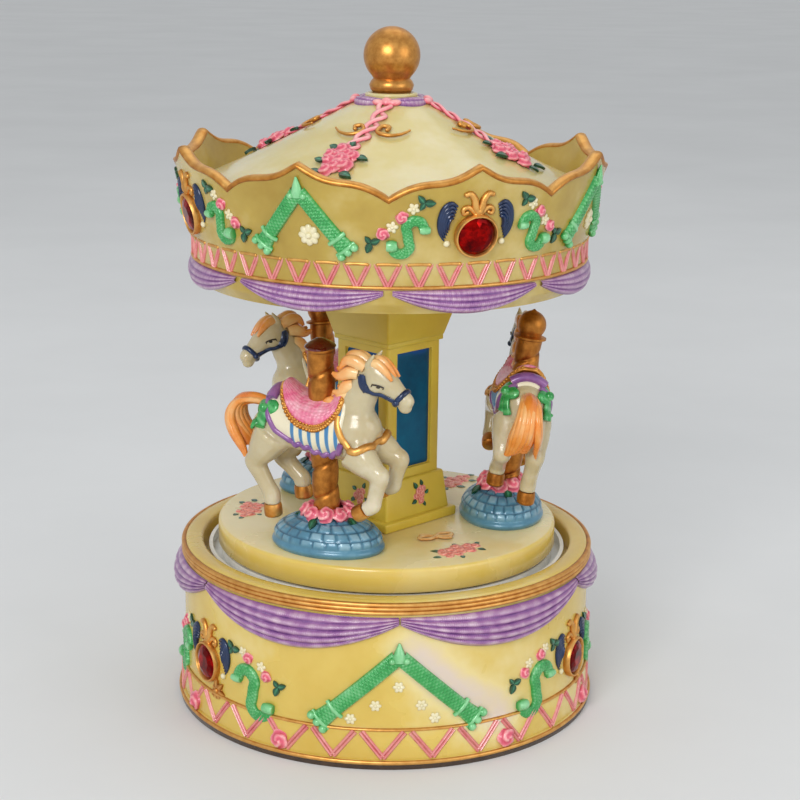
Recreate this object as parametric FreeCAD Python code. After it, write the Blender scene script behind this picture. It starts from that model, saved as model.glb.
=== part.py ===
"""Wind-up carousel music box in painted cast resin.

A drum base holds a comb-and-cylinder movement. Its spring barrel turns the disc, and with it the
column, the canopy and three galloping horses. The key sits in a recess under the base.
Millimetres, +Z up, origin at the middle of the surface that the box stands on. Angles are degrees
from the front (-Y), growing towards the right (+X).
"""

import FreeCAD, Part

import math
import os

V = FreeCAD.Vector
UP = V(0, 0, 1)
ORIGIN = V(0, 0, 0)

# Sides of a modelled limb, drape, stone or pole section
SECTION_SIDES = 8
DRAPE_SIDES = 8
BUD_SIDES = 6
BALL_STEPS = 5

# Clearances
RUNNING = 0.05
SEAT = 0.02
SIDE_GAP = 0.3

# Base drum
FELT = 1.0
FOOT_RADIUS = 52.2
FOOT_LIP = 1.3
FOOT_SETBACK = 0.9
FOOT_STEP = 1.8
WALL_RADIUS = FOOT_RADIUS - FOOT_STEP
BAND_TOP = 9.5
BAND_SETBACK = 0.5
RIM_STEP = 0.4
RIM_WIDTH = 4.3
RIM_RADIUS = WALL_RADIUS - RIM_STEP
RIM_INNER_RADIUS = RIM_RADIUS - RIM_WIDTH
RIM_TOP = 40.3
DRUM_WALL = 4.4
CAVITY_RADIUS = WALL_RADIUS - DRUM_WALL
DECK_TOP = 35.0
DECK = 3.5
RIM_BAND = 3.3
RIM_BEAD = 0.6
BOSS_RADIUS = 3.6
BOSS_INSET = 5.5
BOSS_CIRCLE = CAVITY_RADIUS - BOSS_INSET
BOSS_SCREW = 6.0
BOSS_ANGLES = (150.0, 270.0, 30.0)
PANELS = 6
BASE_TURN = 4.0
SWAG_TOP = 36.6
SWAG_HEIGHT = 9.0
SWAG_BULGE = 2.4
SWAG_END = 1.9
SWAG_ROOT = 0.7
BAND_ROSE_Z = 4.4
BAND_ROSE_RADIUS = 2.2
BAND_ROSE_ANGLES = (-62.5, -27.6, 33.8, 70.8, 112.0, 153.0, 194.0, 238.0)

# Raised ornaments
RIBBON_WIDTH = 3.8
RIBBON_THICKNESS = 1.8
RIBBON_SINK = 0.7
BASE_RIBBON_TOP = 27.5
BASE_RIBBON_FOOT = 10.4
BASE_RIBBON_SPREAD = 20.5
JEWEL_RADIUS = 4.0
JEWEL_HEIGHT = 1.3
BEZEL_WALL = 0.9
BEZEL_STAND = 1.2
BASE_JEWEL_Z = 16.5
HORN_WIDTH = 1.7
LEAF_WIDTH = 2.7
CURL_WIDTH = 2.7
CURL_BEND = 0.26
CURL_LEAN = 0.2
BASE_CURL = 10.5
BASE_CURL_Z = 13.6
BASE_CURL_TURN = 19.0

# Turntable and its drive
DISC_GAP = 3.8
DISC_RADIUS = RIM_INNER_RADIUS - DISC_GAP
DISC_TOP = 45.0
DISC = 6.0
DISC_BEVEL = 1.2
RING_GAP = 1.4
RING_UNDERLAP = 1.5
RING_OUTER_RADIUS = RIM_INNER_RADIUS - RING_GAP
RING_INNER_RADIUS = DISC_RADIUS - RING_UNDERLAP
RING_TOP = 38.4
RING_LIP = 0.9
RING_FLOOR = 1.0
SHAFT_RADIUS = 2.5
BUSH_RADIUS = 5.0
BUSH_FLANGE_RADIUS = 8.0
BUSH_FLANGE = 0.9
HUB_RADIUS = 12.0
HUB_BOSS_RADIUS = 5.5
HUB_PLATE = 1.6
THRUST_GAP = 0.1
HUB_SCREW_CIRCLE = 9.0

# Column
PLINTH_SIDE = 24.6
PLINTH = 2.4
PEDESTAL_FOOT_SIDE = 22.0
PEDESTAL_TOP_SIDE = 19.8
PEDESTAL = 9.4
SHAFT_SIDE = 18.0
COLUMN_SHAFT = 34.0
CAPITAL_FOOT_SIDE = 19.2
CAPITAL_TOP_SIDE = 28.0
CAPITAL = 16.2
CORNER_CHAMFER = 1.1
PANEL_WIDTH = 11.8
PANEL_FOOT = 2.2
PANEL_HEAD = 2.6
PANEL_RECESS = 0.7
TENON_RADIUS = 5.0
TENON = 3.5

# Canopy
LOBES = 8
CANOPY_TURN = 22.5
CANOPY_UNDERCUT = 2.0
CANOPY_LIP_RADIUS = 46.4
CANOPY_LIP = 2.6
CORNICE_FOOT_RADIUS = 48.2
CORNICE_TOP_RADIUS = 51.6
CORNICE_WALL = 2.6
CORNICE_BAND = 7.0
VALLEY_Z = 130.6
PEAK_Z = 137.6
ROOF_EAVE_RADIUS = 46.6
ROOF_EAVE_Z = 128.2
ROOF_TOP_RADIUS = 6.0
ROOF_TOP_Z = 148.6
ROOF_SAG = 0.7
COLLAR_RADIUS = 9.0
COLLAR = 1.5
CANOPY_SWAG_TOP = 110.7
CANOPY_SWAG_HEIGHT = 5.5
CANOPY_SWAG_BULGE = 1.9
CANOPY_SWAG_END = 1.3
EDGE_OGEE = 0.12
CANOPY_RIBBON_TOP = 133.2
CANOPY_RIBBON_FOOT = 119.2
CANOPY_RIBBON_SPREAD = 11.8
CANOPY_JEWEL_Z = 122.8
CANOPY_CURL = 7.6
CANOPY_CURL_Z = 122.6
CANOPY_CURL_TURN = 17.6
BOUQUETS = 4
BOUQUET_TURN = -22.0
BOUQUET_RADIUS = 28.5
GARLAND_TWIST = 15.0
GARLAND_WIDTH = 3.0
GARLAND_STAND = 0.9
ROSE_RADIUS = 1.9
FINIAL_BALL_RADIUS = 6.7
FINIAL_NECK_RADIUS = 5.3
FINIAL_NECK = 3.4
FINIAL_PIN_RADIUS = 2.0
FINIAL_PIN = 6.0

# Horses, poles and mounds
HORSES = ("front", "right", "rear")
HORSE_CIRCLE = 28.6
HORSE_TURN = -28.5
HORSE_LEANS = (4.5, 7.5, 7.0)
POLE_WIDE_RADIUS = 3.2
POLE_NARROW_RADIUS = 2.75
POLE_LEAD = 23.0
POLE_FOOT = 3.0
POLE_COLLAR_Z = 45.2
POLE_COLLAR_RADIUS = 3.9
POLE_COLLAR = 1.2
POLE_BALL_RADIUS = 3.5
POLE_BALL_TIP = 1.0
POLE_CAP = 3.0
MOUND_LENGTH = 28.5
MOUND_WIDTH = 21.0
MOUND_HEIGHT = 8.2
MOUND_LIP = 2.0
MOUND_SIDES = 16
MOUND_ROSES = 8
MOUND_ROSE_CIRCLE = 5.2

# Movement
PLATE_TOP = 11.0
PLATE = 2.0
SOUND_SLOTS = 3
SOUND_SLOT_LENGTH = 13.0
SOUND_SLOT_WIDTH = 5.2
SOUND_SLOT_STEP = 8.2
SOUND_SLOT_X = -27.0
BEDPLATE = 2.0
BEDPLATE_BACK = -18.0
BEDPLATE_Y = (-22.0, 26.0)
BEDPLATE_EDGE = 1.3
BEDPLATE_GAP = 1.5
BEDPLATE_CORNER_RADIUS = CAVITY_RADIUS - BEDPLATE_GAP
BEDPLATE_SCREW_INSET = 4.0
ARBOR_RADIUS = 2.0
ARBOR_SLEEVE_RADIUS = 4.0
FLANGE_LIFT = 1.0
FLANGE = 1.2
BARREL_RADIUS = 13.4
BARREL_WALL = 1.0
BARREL_HEIGHT = 10.8
LID = 1.2
LID_SPIGOT = 1.0
SPRING_STRIP = 0.35
SPRING_PITCH = 2.0
SPRING_HEIGHT = 8.0
CROWN_MODULE = 0.8
CROWN_TEETH = 40
CROWN_FACE = 2.8
PINION_TEETH = 10
PINION_FACE = 2.2
GEAR_MODULE = 0.5
CYLINDER_GEAR_TEETH = 30
SECOND_PINION_TEETH = 10
WORM_WHEEL_TEETH = 20
WORM_RADIUS = 1.75
GEAR_FACE = 1.2
WORM_WHEEL_FACE = 0.7
BACKLASH = 0.24
MESH_LIFT = 0.12
CYLINDER_RADIUS = 6.5
MOVEMENT_INSET = 31.6
CYLINDER_LENGTH = CAVITY_RADIUS - MOVEMENT_INSET
CYLINDER_WALL = 0.8
CYLINDER_SHAFT_RADIUS = 1.0
POST = 1.2
POST_WIDTH = 5.0
PIN_RADIUS = 0.25
PIN_STAND = 0.6
PINS_PER_TRACK = 2
COMB_TEETH = 18
COMB_PITCH = 0.95 * CYLINDER_LENGTH / COMB_TEETH
COMB_SLIT = 0.22
COMB = 0.8
COMB_TOOTH = 11.5
COMB_HEEL = 6.0
COMB_GAP = 0.35
FAN_RADIUS = 4.2
FAN_BLADE = 0.4
FAN_HEIGHT = 4.6
FAN_LIFT = 1.0
GOVERNOR_SHAFT_RADIUS = 0.55
BRACKET = 1.0
BRACKET_POST = 3.4
KEY_WIDTH = 24.0
KEY_HEIGHT = 6.4
KEY_THICKNESS = 2.2
KEY_STEM_RADIUS = 3.0
KEY_HOLE_RADIUS = 3.4
SCREW_RADIUS = 1.2
SCREW_HEAD_RADIUS = 2.3
SCREW_HEAD = 1.2


def at(angle, radius, height):
    """Point at an angle from the front, a radius and a height."""
    turn = math.radians(angle)
    return V(radius * math.sin(turn), -radius * math.cos(turn), height)


def turned(shape, angle):
    """Copy of a shape turned about the vertical axis."""
    copy = shape.copy()
    copy.rotate(ORIGIN, UP, angle)
    return copy


def around(shape, count):
    """Copies of a shape spread about the vertical axis."""
    return [turned(shape, index * 360.0 / count) for index in range(count)]


def outline(start, *steps):
    """Closed face in the XZ plane: a step is a corner, or the middle and end of an arc."""
    edges = []
    here = V(start[0], 0, start[1])
    for step in steps + (start,):
        if isinstance(step[0], tuple):
            middle = V(step[0][0], 0, step[0][1])
            end = V(step[1][0], 0, step[1][1])
            edges.append(Part.Arc(here, middle, end).toShape())
        else:
            end = V(step[0], 0, step[1])
            if (end - here).Length < 1e-7:
                continue
            edges.append(Part.LineSegment(here, end).toShape())
        here = end
    return Part.Face(Part.Wire(edges))


def turn_profile(start, *steps):
    """Solid of revolution from an outline of (radius, height) points."""
    return outline(start, *steps).revolve(ORIGIN, UP, 360)


def ring(outer, inner, bottom, height):
    """Plain ring standing on a height."""
    return turn_profile((inner, bottom), (outer, bottom), (outer, bottom + height), (inner, bottom + height))


def rod(radius, foot, length, direction=UP):
    """Plain round rod."""
    return Part.makeCylinder(radius, length, foot, direction)


def fused(first, others):
    """One solid from pieces that overlap."""
    return first.multiFuse(list(others)).removeSplitter()


def ball_steps(radius, centre, low, steps=BALL_STEPS):
    """(radius, height) corners of a turned ball, from an angle below its middle up to its crown."""
    corners = []
    for index in range(steps + 1):
        turn = math.radians(low + (90 - low) * index / steps)
        corners.append((radius * math.cos(turn), centre + radius * math.sin(turn)))
    return corners[:-1] + [(0, centre + radius)]


def section(centre, across, upward, width, height, sides=SECTION_SIDES):
    """Ring of corners around a centre, in the plane of two unit vectors."""
    corners = []
    for step in range(sides):
        turn = 2 * math.pi * (step + 0.5) / sides
        corners.append(centre + across * (width * math.cos(turn)) + upward * (height * math.sin(turn)))
    return corners


def facet(*corners):
    """Flat face between corners."""
    return Part.Face(Part.makePolygon(list(corners) + [corners[0]]))


def skin(rings):
    """Solid with flat facets through rings of corners, closed at both ends."""
    faces = [facet(*rings[0]), facet(*rings[-1])]
    for lower, upper in zip(rings, rings[1:]):
        for index in range(len(lower)):
            after = (index + 1) % len(lower)
            faces.append(facet(lower[index], lower[after], upper[after]))
            faces.append(facet(lower[index], upper[after], upper[index]))
    shell = Part.Shell(faces)
    shell.sewShape()
    solid = Part.Solid(shell)
    if solid.Volume < 0:
        solid.reverse()
    return solid.removeSplitter()


def limb(stations):
    """Skin through many-sided sections: each station is a centre with its side and upright radii."""
    centres = [V(*station[0]) for station in stations]
    rings = []
    for index, station in enumerate(stations):
        before = centres[max(index - 1, 0)]
        after = centres[min(index + 1, len(centres) - 1)]
        along = (after - before).normalize()
        side = V(0, 1, 0)
        side = (side - along * side.dot(along)).normalize()
        rings.append(section(centres[index], side, along.cross(side), station[1], station[2]))
    return skin(rings)


def square_ring(side, height, chamfer):
    """Chamfered square with its corners to the front, back and sides."""
    half = side / 2
    flat = half - chamfer
    corners = []
    for quarter in range(4):
        turn = math.radians(90 * quarter + 45)
        for across in (-flat, flat):
            x = half * math.cos(turn) - across * math.sin(turn)
            y = half * math.sin(turn) + across * math.cos(turn)
            corners.append(V(x, y, height))
    return corners


def frustum(lower_side, upper_side, bottom, height, chamfer=CORNER_CHAMFER):
    """Square block that tapers from one side length to another."""
    return skin([square_ring(lower_side, bottom, chamfer), square_ring(upper_side, bottom + height, chamfer)])


def swag(count, top, height, bulge, end, wall):
    """One hanging drape between two gathers, centred on the front, with a level upper edge."""
    reach = 180.0 / count - math.degrees(SIDE_GAP / wall)
    rings = []
    for share in (-1.0, -0.7, -0.35, 0.0, 0.35, 0.7, 1.0):
        angle = share * reach
        fullness = 1 - share * share
        tall = end + (height - end) * fullness
        deep = (bulge * (0.45 + 0.55 * fullness) + SWAG_ROOT) / math.cos(math.pi / DRAPE_SIDES)
        middle = at(angle, wall - SWAG_ROOT, top - tall / 2)
        outward = at(angle, 1, 0)
        rings.append(section(middle, outward, UP, deep, tall / 2, DRAPE_SIDES))
    return skin(rings)


def wall_ribbon(route, wall_radius, width=RIBBON_WIDTH):
    """Flat raised ribbon along (angle, height) points of a round wall."""
    points = [at(angle, wall_radius(height), height) for angle, height in route]
    rings = []
    for index, (angle, _) in enumerate(route):
        along = points[min(index + 1, len(points) - 1)] - points[max(index - 1, 0)]
        normal = at(angle, 1, 0)
        across = normal.cross(along.normalize()).normalize()
        inner = points[index] - normal * RIBBON_SINK
        outer = points[index] + normal * (RIBBON_THICKNESS - RIBBON_SINK)
        half = across * (width / 2)
        slope = across * (width / 2 * 0.7)
        rings.append([inner - half, inner + half, outer + slope, outer - slope])
    return skin(rings)


def bow_ribbon(angle, top, foot, spread, wall_radius):
    """The two legs of a ribbon that hangs in an inverted V."""
    pieces = []
    for hand in (-1, 1):
        route = []
        for step in range(5):
            share = step / 4
            route.append((angle + hand * spread * share, top + (foot - top) * share))
        pieces.append(wall_ribbon(route, wall_radius))
    return pieces


def wall_route(points, angle, height, wall_radius):
    """(angle, height) route of flat points, right and up of a place on a round wall."""
    return [(angle + math.degrees(x / wall_radius(height + y)), height + y) for x, y in points]


def curl_ribbon(angle, height, hand, size, wall_radius):
    """S-shaped ribbon: a hook over the top and a curl below, leaning to one hand."""
    bend = CURL_BEND * size
    points = []
    for side, turns in ((1, (0, 55, 110, 165, 215)), (-1, (215, 165, 110, 55, 0))):
        for turn in turns:
            x = CURL_LEAN * size + bend * math.cos(math.radians(turn))
            y = size / 2 - bend + bend * math.sin(math.radians(turn))
            points.append((side * hand * x, side * y))
    return wall_ribbon(wall_route(points, angle, height, wall_radius), wall_radius, CURL_WIDTH)


def crest(angle, height, wall_radius):
    """Two horns above a setting and a bowed leaf at each side of it."""
    outer = JEWEL_RADIUS + BEZEL_WALL
    pieces = []
    for hand in (-1, 1):
        horn = [(hand * 0.3, outer - 0.3), (hand * 1.0, outer + 2.6), (hand * 2.7, outer + 4.9)]
        leaf = [(hand * (outer + 0.6), outer + 2.1), (hand * (outer + 2.7), outer + 0.6),
                (hand * (outer + 3.5), outer - 2.0), (hand * (outer + 3.3), 0)]
        pieces.append(wall_ribbon(wall_route(horn, angle, height, wall_radius), wall_radius, HORN_WIDTH))
        pieces.append(wall_ribbon(wall_route(leaf, angle, height, wall_radius), wall_radius, LEAF_WIDTH))
    return pieces


def bud(radius):
    """Many-sided rose bud along +Z, with its root below Z = 0."""
    levels = ((radius, -radius / 2), (radius, radius * 0.3), (radius * 0.55, radius * 0.75))
    rings = []
    for size, height in levels:
        rings.append(section(V(0, 0, height), V(1, 0, 0), V(0, 1, 0), size, size, BUD_SIDES))
    return skin(rings)


def facing(shape, angle, radius, height, flare=0.0):
    """Shape built along +Z, turned to face outwards from a wall that leans out by a flare angle."""
    copy = shape.copy()
    copy.rotate(ORIGIN, V(1, 0, 0), 90 + flare)
    copy.rotate(ORIGIN, UP, angle)
    copy.translate(at(angle, radius, height))
    return copy


def stone_ring(radius, height):
    """Many-sided girdle line of a stone or of its setting."""
    return section(V(0, 0, height), V(1, 0, 0), V(0, 1, 0), radius, radius)


def bezel():
    """Many-sided setting of a jewel, standing on Z = 0 with its root below."""
    outer = JEWEL_RADIUS + BEZEL_WALL
    root = -RIBBON_SINK - BEZEL_WALL
    block = skin([stone_ring(outer, root), stone_ring(outer, BEZEL_STAND)])
    return block.cut(skin([stone_ring(JEWEL_RADIUS, 0), stone_ring(JEWEL_RADIUS, 2 * BEZEL_STAND)]))


def jewel():
    """Faceted stone that fills its setting: a girdle, a crown and a flat table."""
    radius = JEWEL_RADIUS - SEAT
    girdle = BEZEL_STAND * 0.6
    table = stone_ring(radius * 0.55, girdle + JEWEL_HEIGHT)
    return skin([stone_ring(radius, SEAT), stone_ring(radius, girdle), table])


def screw(length):
    """Hexagon-headed screw: its head stands below Z = 0 and its shank above."""
    rings = [section(V(0, 0, height), V(1, 0, 0), V(0, 1, 0), SCREW_HEAD_RADIUS, SCREW_HEAD_RADIUS, 6)
             for height in (-SCREW_HEAD, 0)]
    return skin(rings).fuse(rod(SCREW_RADIUS, ORIGIN, length))


def screws(places, length, bottom):
    """Group of upward screws at (x, y) places."""
    made = []
    for x, y in places:
        copy = screw(length)
        copy.translate(V(x, y, bottom))
        made.append(copy)
    return Part.Compound(made)


# Base drum
def drum_wall(height):
    """Outer radius of the drum at a height: the foot band tapers, the wall is straight."""
    foot = FOOT_RADIUS - FOOT_SETBACK
    if height >= BAND_TOP:
        return WALL_RADIUS
    share = (height - FELT - FOOT_LIP) / (BAND_TOP - FELT - FOOT_LIP)
    return foot + (WALL_RADIUS + BAND_SETBACK - foot) * max(share, 0)


def motif_angles(count, turn, first):
    """Angles of every second panel of a ring of panels."""
    return [turn + 360.0 / count * index for index in range(first, count, 2)]


def base_shell():
    """Hollow cast drum: foot, banded rim, deck, screw bosses and raised ornaments."""
    inner = CAVITY_RADIUS
    deck_under = DECK_TOP - DECK
    lip_top = FELT + FOOT_LIP
    bead_foot = RIM_TOP - RIM_BAND
    bead = WALL_RADIUS + RIM_BEAD
    body = turn_profile(
        (inner, FELT), (FOOT_RADIUS, FELT), (FOOT_RADIUS - FOOT_SETBACK, lip_top),
        (WALL_RADIUS + BAND_SETBACK, BAND_TOP), (WALL_RADIUS, BAND_TOP),
        (WALL_RADIUS, bead_foot), (bead, bead_foot + RIM_BEAD), (bead, RIM_TOP - RIM_BEAD),
        (RIM_RADIUS, RIM_TOP), (RIM_INNER_RADIUS, RIM_TOP), (RIM_INNER_RADIUS, DECK_TOP),
        (BUSH_RADIUS + SEAT, DECK_TOP), (BUSH_RADIUS + SEAT, deck_under), (inner, deck_under))
    boss = rod(BOSS_RADIUS, at(0, BOSS_CIRCLE, PLATE_TOP), deck_under + DECK / 2 - PLATE_TOP)
    boss = boss.cut(rod(SCREW_RADIUS + SEAT, at(0, BOSS_CIRCLE, PLATE_TOP), BOSS_SCREW + SIDE_GAP))
    pieces = [turned(boss, angle) for angle in BOSS_ANGLES]
    drape = swag(PANELS, SWAG_TOP, SWAG_HEIGHT, SWAG_BULGE, SWAG_END, WALL_RADIUS)
    pieces += [turned(drape, BASE_TURN + 180.0 / PANELS + step * 360.0 / PANELS) for step in range(PANELS)]
    for angle in motif_angles(PANELS, BASE_TURN, 0):
        pieces += bow_ribbon(angle, BASE_RIBBON_TOP, BASE_RIBBON_FOOT, BASE_RIBBON_SPREAD, drum_wall)
    setting = bezel()
    for angle in motif_angles(PANELS, BASE_TURN, 1):
        pieces.append(facing(setting, angle, WALL_RADIUS, BASE_JEWEL_Z))
        pieces += crest(angle, BASE_JEWEL_Z, drum_wall)
        for hand in (-1, 1):
            place = angle + hand * BASE_CURL_TURN
            pieces.append(curl_ribbon(place, BASE_CURL_Z, -hand, BASE_CURL, drum_wall))
    rose = bud(BAND_ROSE_RADIUS)
    pieces += [facing(rose, angle, drum_wall(BAND_ROSE_Z), BAND_ROSE_Z) for angle in BAND_ROSE_ANGLES]
    return fused(body, pieces)


def jewels(count, turn, first, radius, height, flare=0.0):
    """Group of stones, one in each setting of a ring of panels."""
    stone = jewel()
    angles = motif_angles(count, turn, first)
    return Part.Compound([facing(stone, angle, radius, height, flare) for angle in angles])


def felt_ring():
    """Felt that the foot stands on."""
    return ring(FOOT_RADIUS - SIDE_GAP, CAVITY_RADIUS + SIDE_GAP, 0, FELT)


def bottom_plate():
    """Round plate that closes the drum and carries the movement, with the key's hole and sound slots."""
    radius = CAVITY_RADIUS - SIDE_GAP
    plate = ring(radius, KEY_HOLE_RADIUS, PLATE_TOP - PLATE, PLATE)
    for index in range(SOUND_SLOTS):
        y = (index - (SOUND_SLOTS - 1) / 2) * SOUND_SLOT_STEP
        corner = V(SOUND_SLOT_X - SOUND_SLOT_LENGTH / 2, y - SOUND_SLOT_WIDTH / 2, PLATE_TOP - PLATE)
        plate = plate.cut(Part.makeBox(SOUND_SLOT_LENGTH, SOUND_SLOT_WIDTH, PLATE, corner))
    holes = [rod(SCREW_RADIUS + SEAT, at(angle, BOSS_CIRCLE, 0), PLATE_TOP) for angle in BOSS_ANGLES]
    holes += [rod(SCREW_RADIUS + SEAT, V(x, y, 0), PLATE_TOP) for x, y in bedplate_screw_places()]
    return plate.cut(Part.Compound(holes))


def plate_screws():
    """Screws that hold the plate to the drum's bosses."""
    places = [(at(angle, BOSS_CIRCLE, 0).x, at(angle, BOSS_CIRCLE, 0).y) for angle in BOSS_ANGLES]
    return screws(places, PLATE + BOSS_SCREW, PLATE_TOP - PLATE)


def bearing_ring():
    """White channel ring that lies on the deck under the disc's edge."""
    floor = DECK_TOP + RING_FLOOR
    outer, inner = RING_OUTER_RADIUS, RING_INNER_RADIUS
    return turn_profile((inner, DECK_TOP), (outer, DECK_TOP), (outer, RING_TOP), (outer - RING_LIP, RING_TOP),
                        (outer - RING_LIP, floor), (inner + RING_LIP, floor), (inner + RING_LIP, RING_TOP),
                        (inner, RING_TOP))


def shaft_bush():
    """Flanged bush in the deck that guides the output shaft."""
    bore = SHAFT_RADIUS + RUNNING
    top = DECK_TOP + BUSH_FLANGE
    return turn_profile((bore, DECK_TOP - DECK), (BUSH_RADIUS, DECK_TOP - DECK), (BUSH_RADIUS, DECK_TOP),
                        (BUSH_FLANGE_RADIUS, DECK_TOP), (BUSH_FLANGE_RADIUS, top), (bore, top))


# Turntable
def hub_bottom():
    """Height of the hub's thrust face."""
    return DECK_TOP + BUSH_FLANGE + THRUST_GAP


def turntable():
    """Cast disc with a rounded edge, the column's socket and the hub's screw holes."""
    bottom = DISC_TOP - DISC
    disc = turn_profile((0, bottom), (DISC_RADIUS, bottom), (DISC_RADIUS, DISC_TOP - DISC_BEVEL),
                        (DISC_RADIUS - DISC_BEVEL, DISC_TOP), (0, DISC_TOP))
    holes = [rod(TENON_RADIUS + SEAT, V(0, 0, DISC_TOP - TENON - SEAT), TENON + 2 * SEAT)]
    holes += around(rod(SCREW_RADIUS + SEAT, at(0, HUB_SCREW_CIRCLE, bottom), DISC / 2 + SEAT), 3)
    return disc.cut(Part.Compound(holes))


def drive_hub():
    """Plate under the disc that the output shaft turns."""
    bottom, top = hub_bottom(), DISC_TOP - DISC
    bore = SHAFT_RADIUS + SEAT
    hub = turn_profile((bore, bottom), (HUB_BOSS_RADIUS, bottom), (HUB_BOSS_RADIUS, top - HUB_PLATE),
                       (HUB_RADIUS, top - HUB_PLATE), (HUB_RADIUS, top), (bore, top))
    holes = around(rod(SCREW_RADIUS + SEAT, at(0, HUB_SCREW_CIRCLE, bottom), top - bottom), 3)
    return hub.cut(Part.Compound(holes))


def hub_screws():
    """Screws that hold the hub to the disc."""
    places = [(at(angle, HUB_SCREW_CIRCLE, 0).x, at(angle, HUB_SCREW_CIRCLE, 0).y) for angle in (0, 120, 240)]
    return screws(places, HUB_PLATE + DISC / 2 - SIDE_GAP, DISC_TOP - DISC - HUB_PLATE)


# Column
def column_levels():
    """Heights of the plinth, pedestal, shaft and capital tops."""
    levels = [DISC_TOP]
    for rise in (PLINTH, PEDESTAL, COLUMN_SHAFT, CAPITAL):
        levels.append(levels[-1] + rise)
    return levels


def column():
    """Square column with a stepped plinth, sunk panels and a flared capital."""
    foot, plinth_top, pedestal_top, shaft_top, top = column_levels()
    pieces = [
        frustum(PEDESTAL_FOOT_SIDE, PEDESTAL_TOP_SIDE, plinth_top, PEDESTAL),
        frustum(SHAFT_SIDE, SHAFT_SIDE, pedestal_top, COLUMN_SHAFT),
        frustum(CAPITAL_FOOT_SIDE, CAPITAL_TOP_SIDE, shaft_top, CAPITAL),
        rod(TENON_RADIUS, V(0, 0, foot - TENON), TENON),
        rod(TENON_RADIUS, V(0, 0, top), TENON),
    ]
    body = fused(frustum(PLINTH_SIDE, PLINTH_SIDE, foot, PLINTH), pieces)
    height = COLUMN_SHAFT - PANEL_FOOT - PANEL_HEAD
    corner = V(SHAFT_SIDE / 2 - PANEL_RECESS, -PANEL_WIDTH / 2, pedestal_top + PANEL_FOOT)
    sunk = turned(Part.makeBox(2 * PANEL_RECESS, PANEL_WIDTH, height, corner), 45)
    return body.cut(Part.Compound(around(sunk, 4)))


# Canopy
def cornice_foot():
    """Height at which the cornice starts to lean out."""
    return column_levels()[-1] - CANOPY_UNDERCUT + CANOPY_LIP + CORNICE_BAND


def cornice_flare():
    """Angle in degrees by which the cornice leans out."""
    return math.degrees(math.atan2(CORNICE_TOP_RADIUS - CORNICE_FOOT_RADIUS, PEAK_Z - cornice_foot()))


def cornice_wall(height):
    """Outer radius of the cornice at a height."""
    share = (height - cornice_foot()) / (PEAK_Z - cornice_foot())
    return CORNICE_FOOT_RADIUS + (CORNICE_TOP_RADIUS - CORNICE_FOOT_RADIUS) * max(share, 0)


def roof_height(radius):
    """Height of the roof's slightly hollow cone at a radius."""
    share = (ROOF_EAVE_RADIUS - radius) / (ROOF_EAVE_RADIUS - ROOF_TOP_RADIUS)
    return ROOF_EAVE_Z + (ROOF_TOP_Z - ROOF_EAVE_Z) * share - 4 * ROOF_SAG * share * (1 - share)


def scallop_cutter():
    """Wedge above one lobe of the cornice: its edge rises in two ogees from the valleys to the peak."""
    half = 180.0 / LOBES
    ceiling = PEAK_Z + CORNICE_WALL
    wires = []
    for distance in (ROOF_EAVE_RADIUS * 0.94, CORNICE_TOP_RADIUS * 1.1):
        edges = []
        for hand in (-1, 1):
            points = []
            for share in (1.0, 0.8, 0.5, 0.2, 0.0):
                angle = math.radians(hand * half * share)
                rise = 1 - share - EDGE_OGEE * math.sin(2 * math.pi * share)
                height = VALLEY_Z + (PEAK_Z - VALLEY_Z) * rise
                points.append(V(distance * math.tan(angle), -distance, height))
            curve = Part.BSplineCurve()
            curve.interpolate(points if hand < 0 else points[::-1])
            edges.append(curve.toShape())
        left = edges[0].valueAt(edges[0].FirstParameter)
        right = edges[1].valueAt(edges[1].LastParameter)
        corners = [right, V(right.x, right.y, ceiling), V(left.x, left.y, ceiling), left]
        edges.append(Part.makePolygon(corners))
        wires.append(Part.Wire([edges[0], edges[1]] + edges[2].Edges))
    return Part.makeLoft(wires, True, True)


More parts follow.
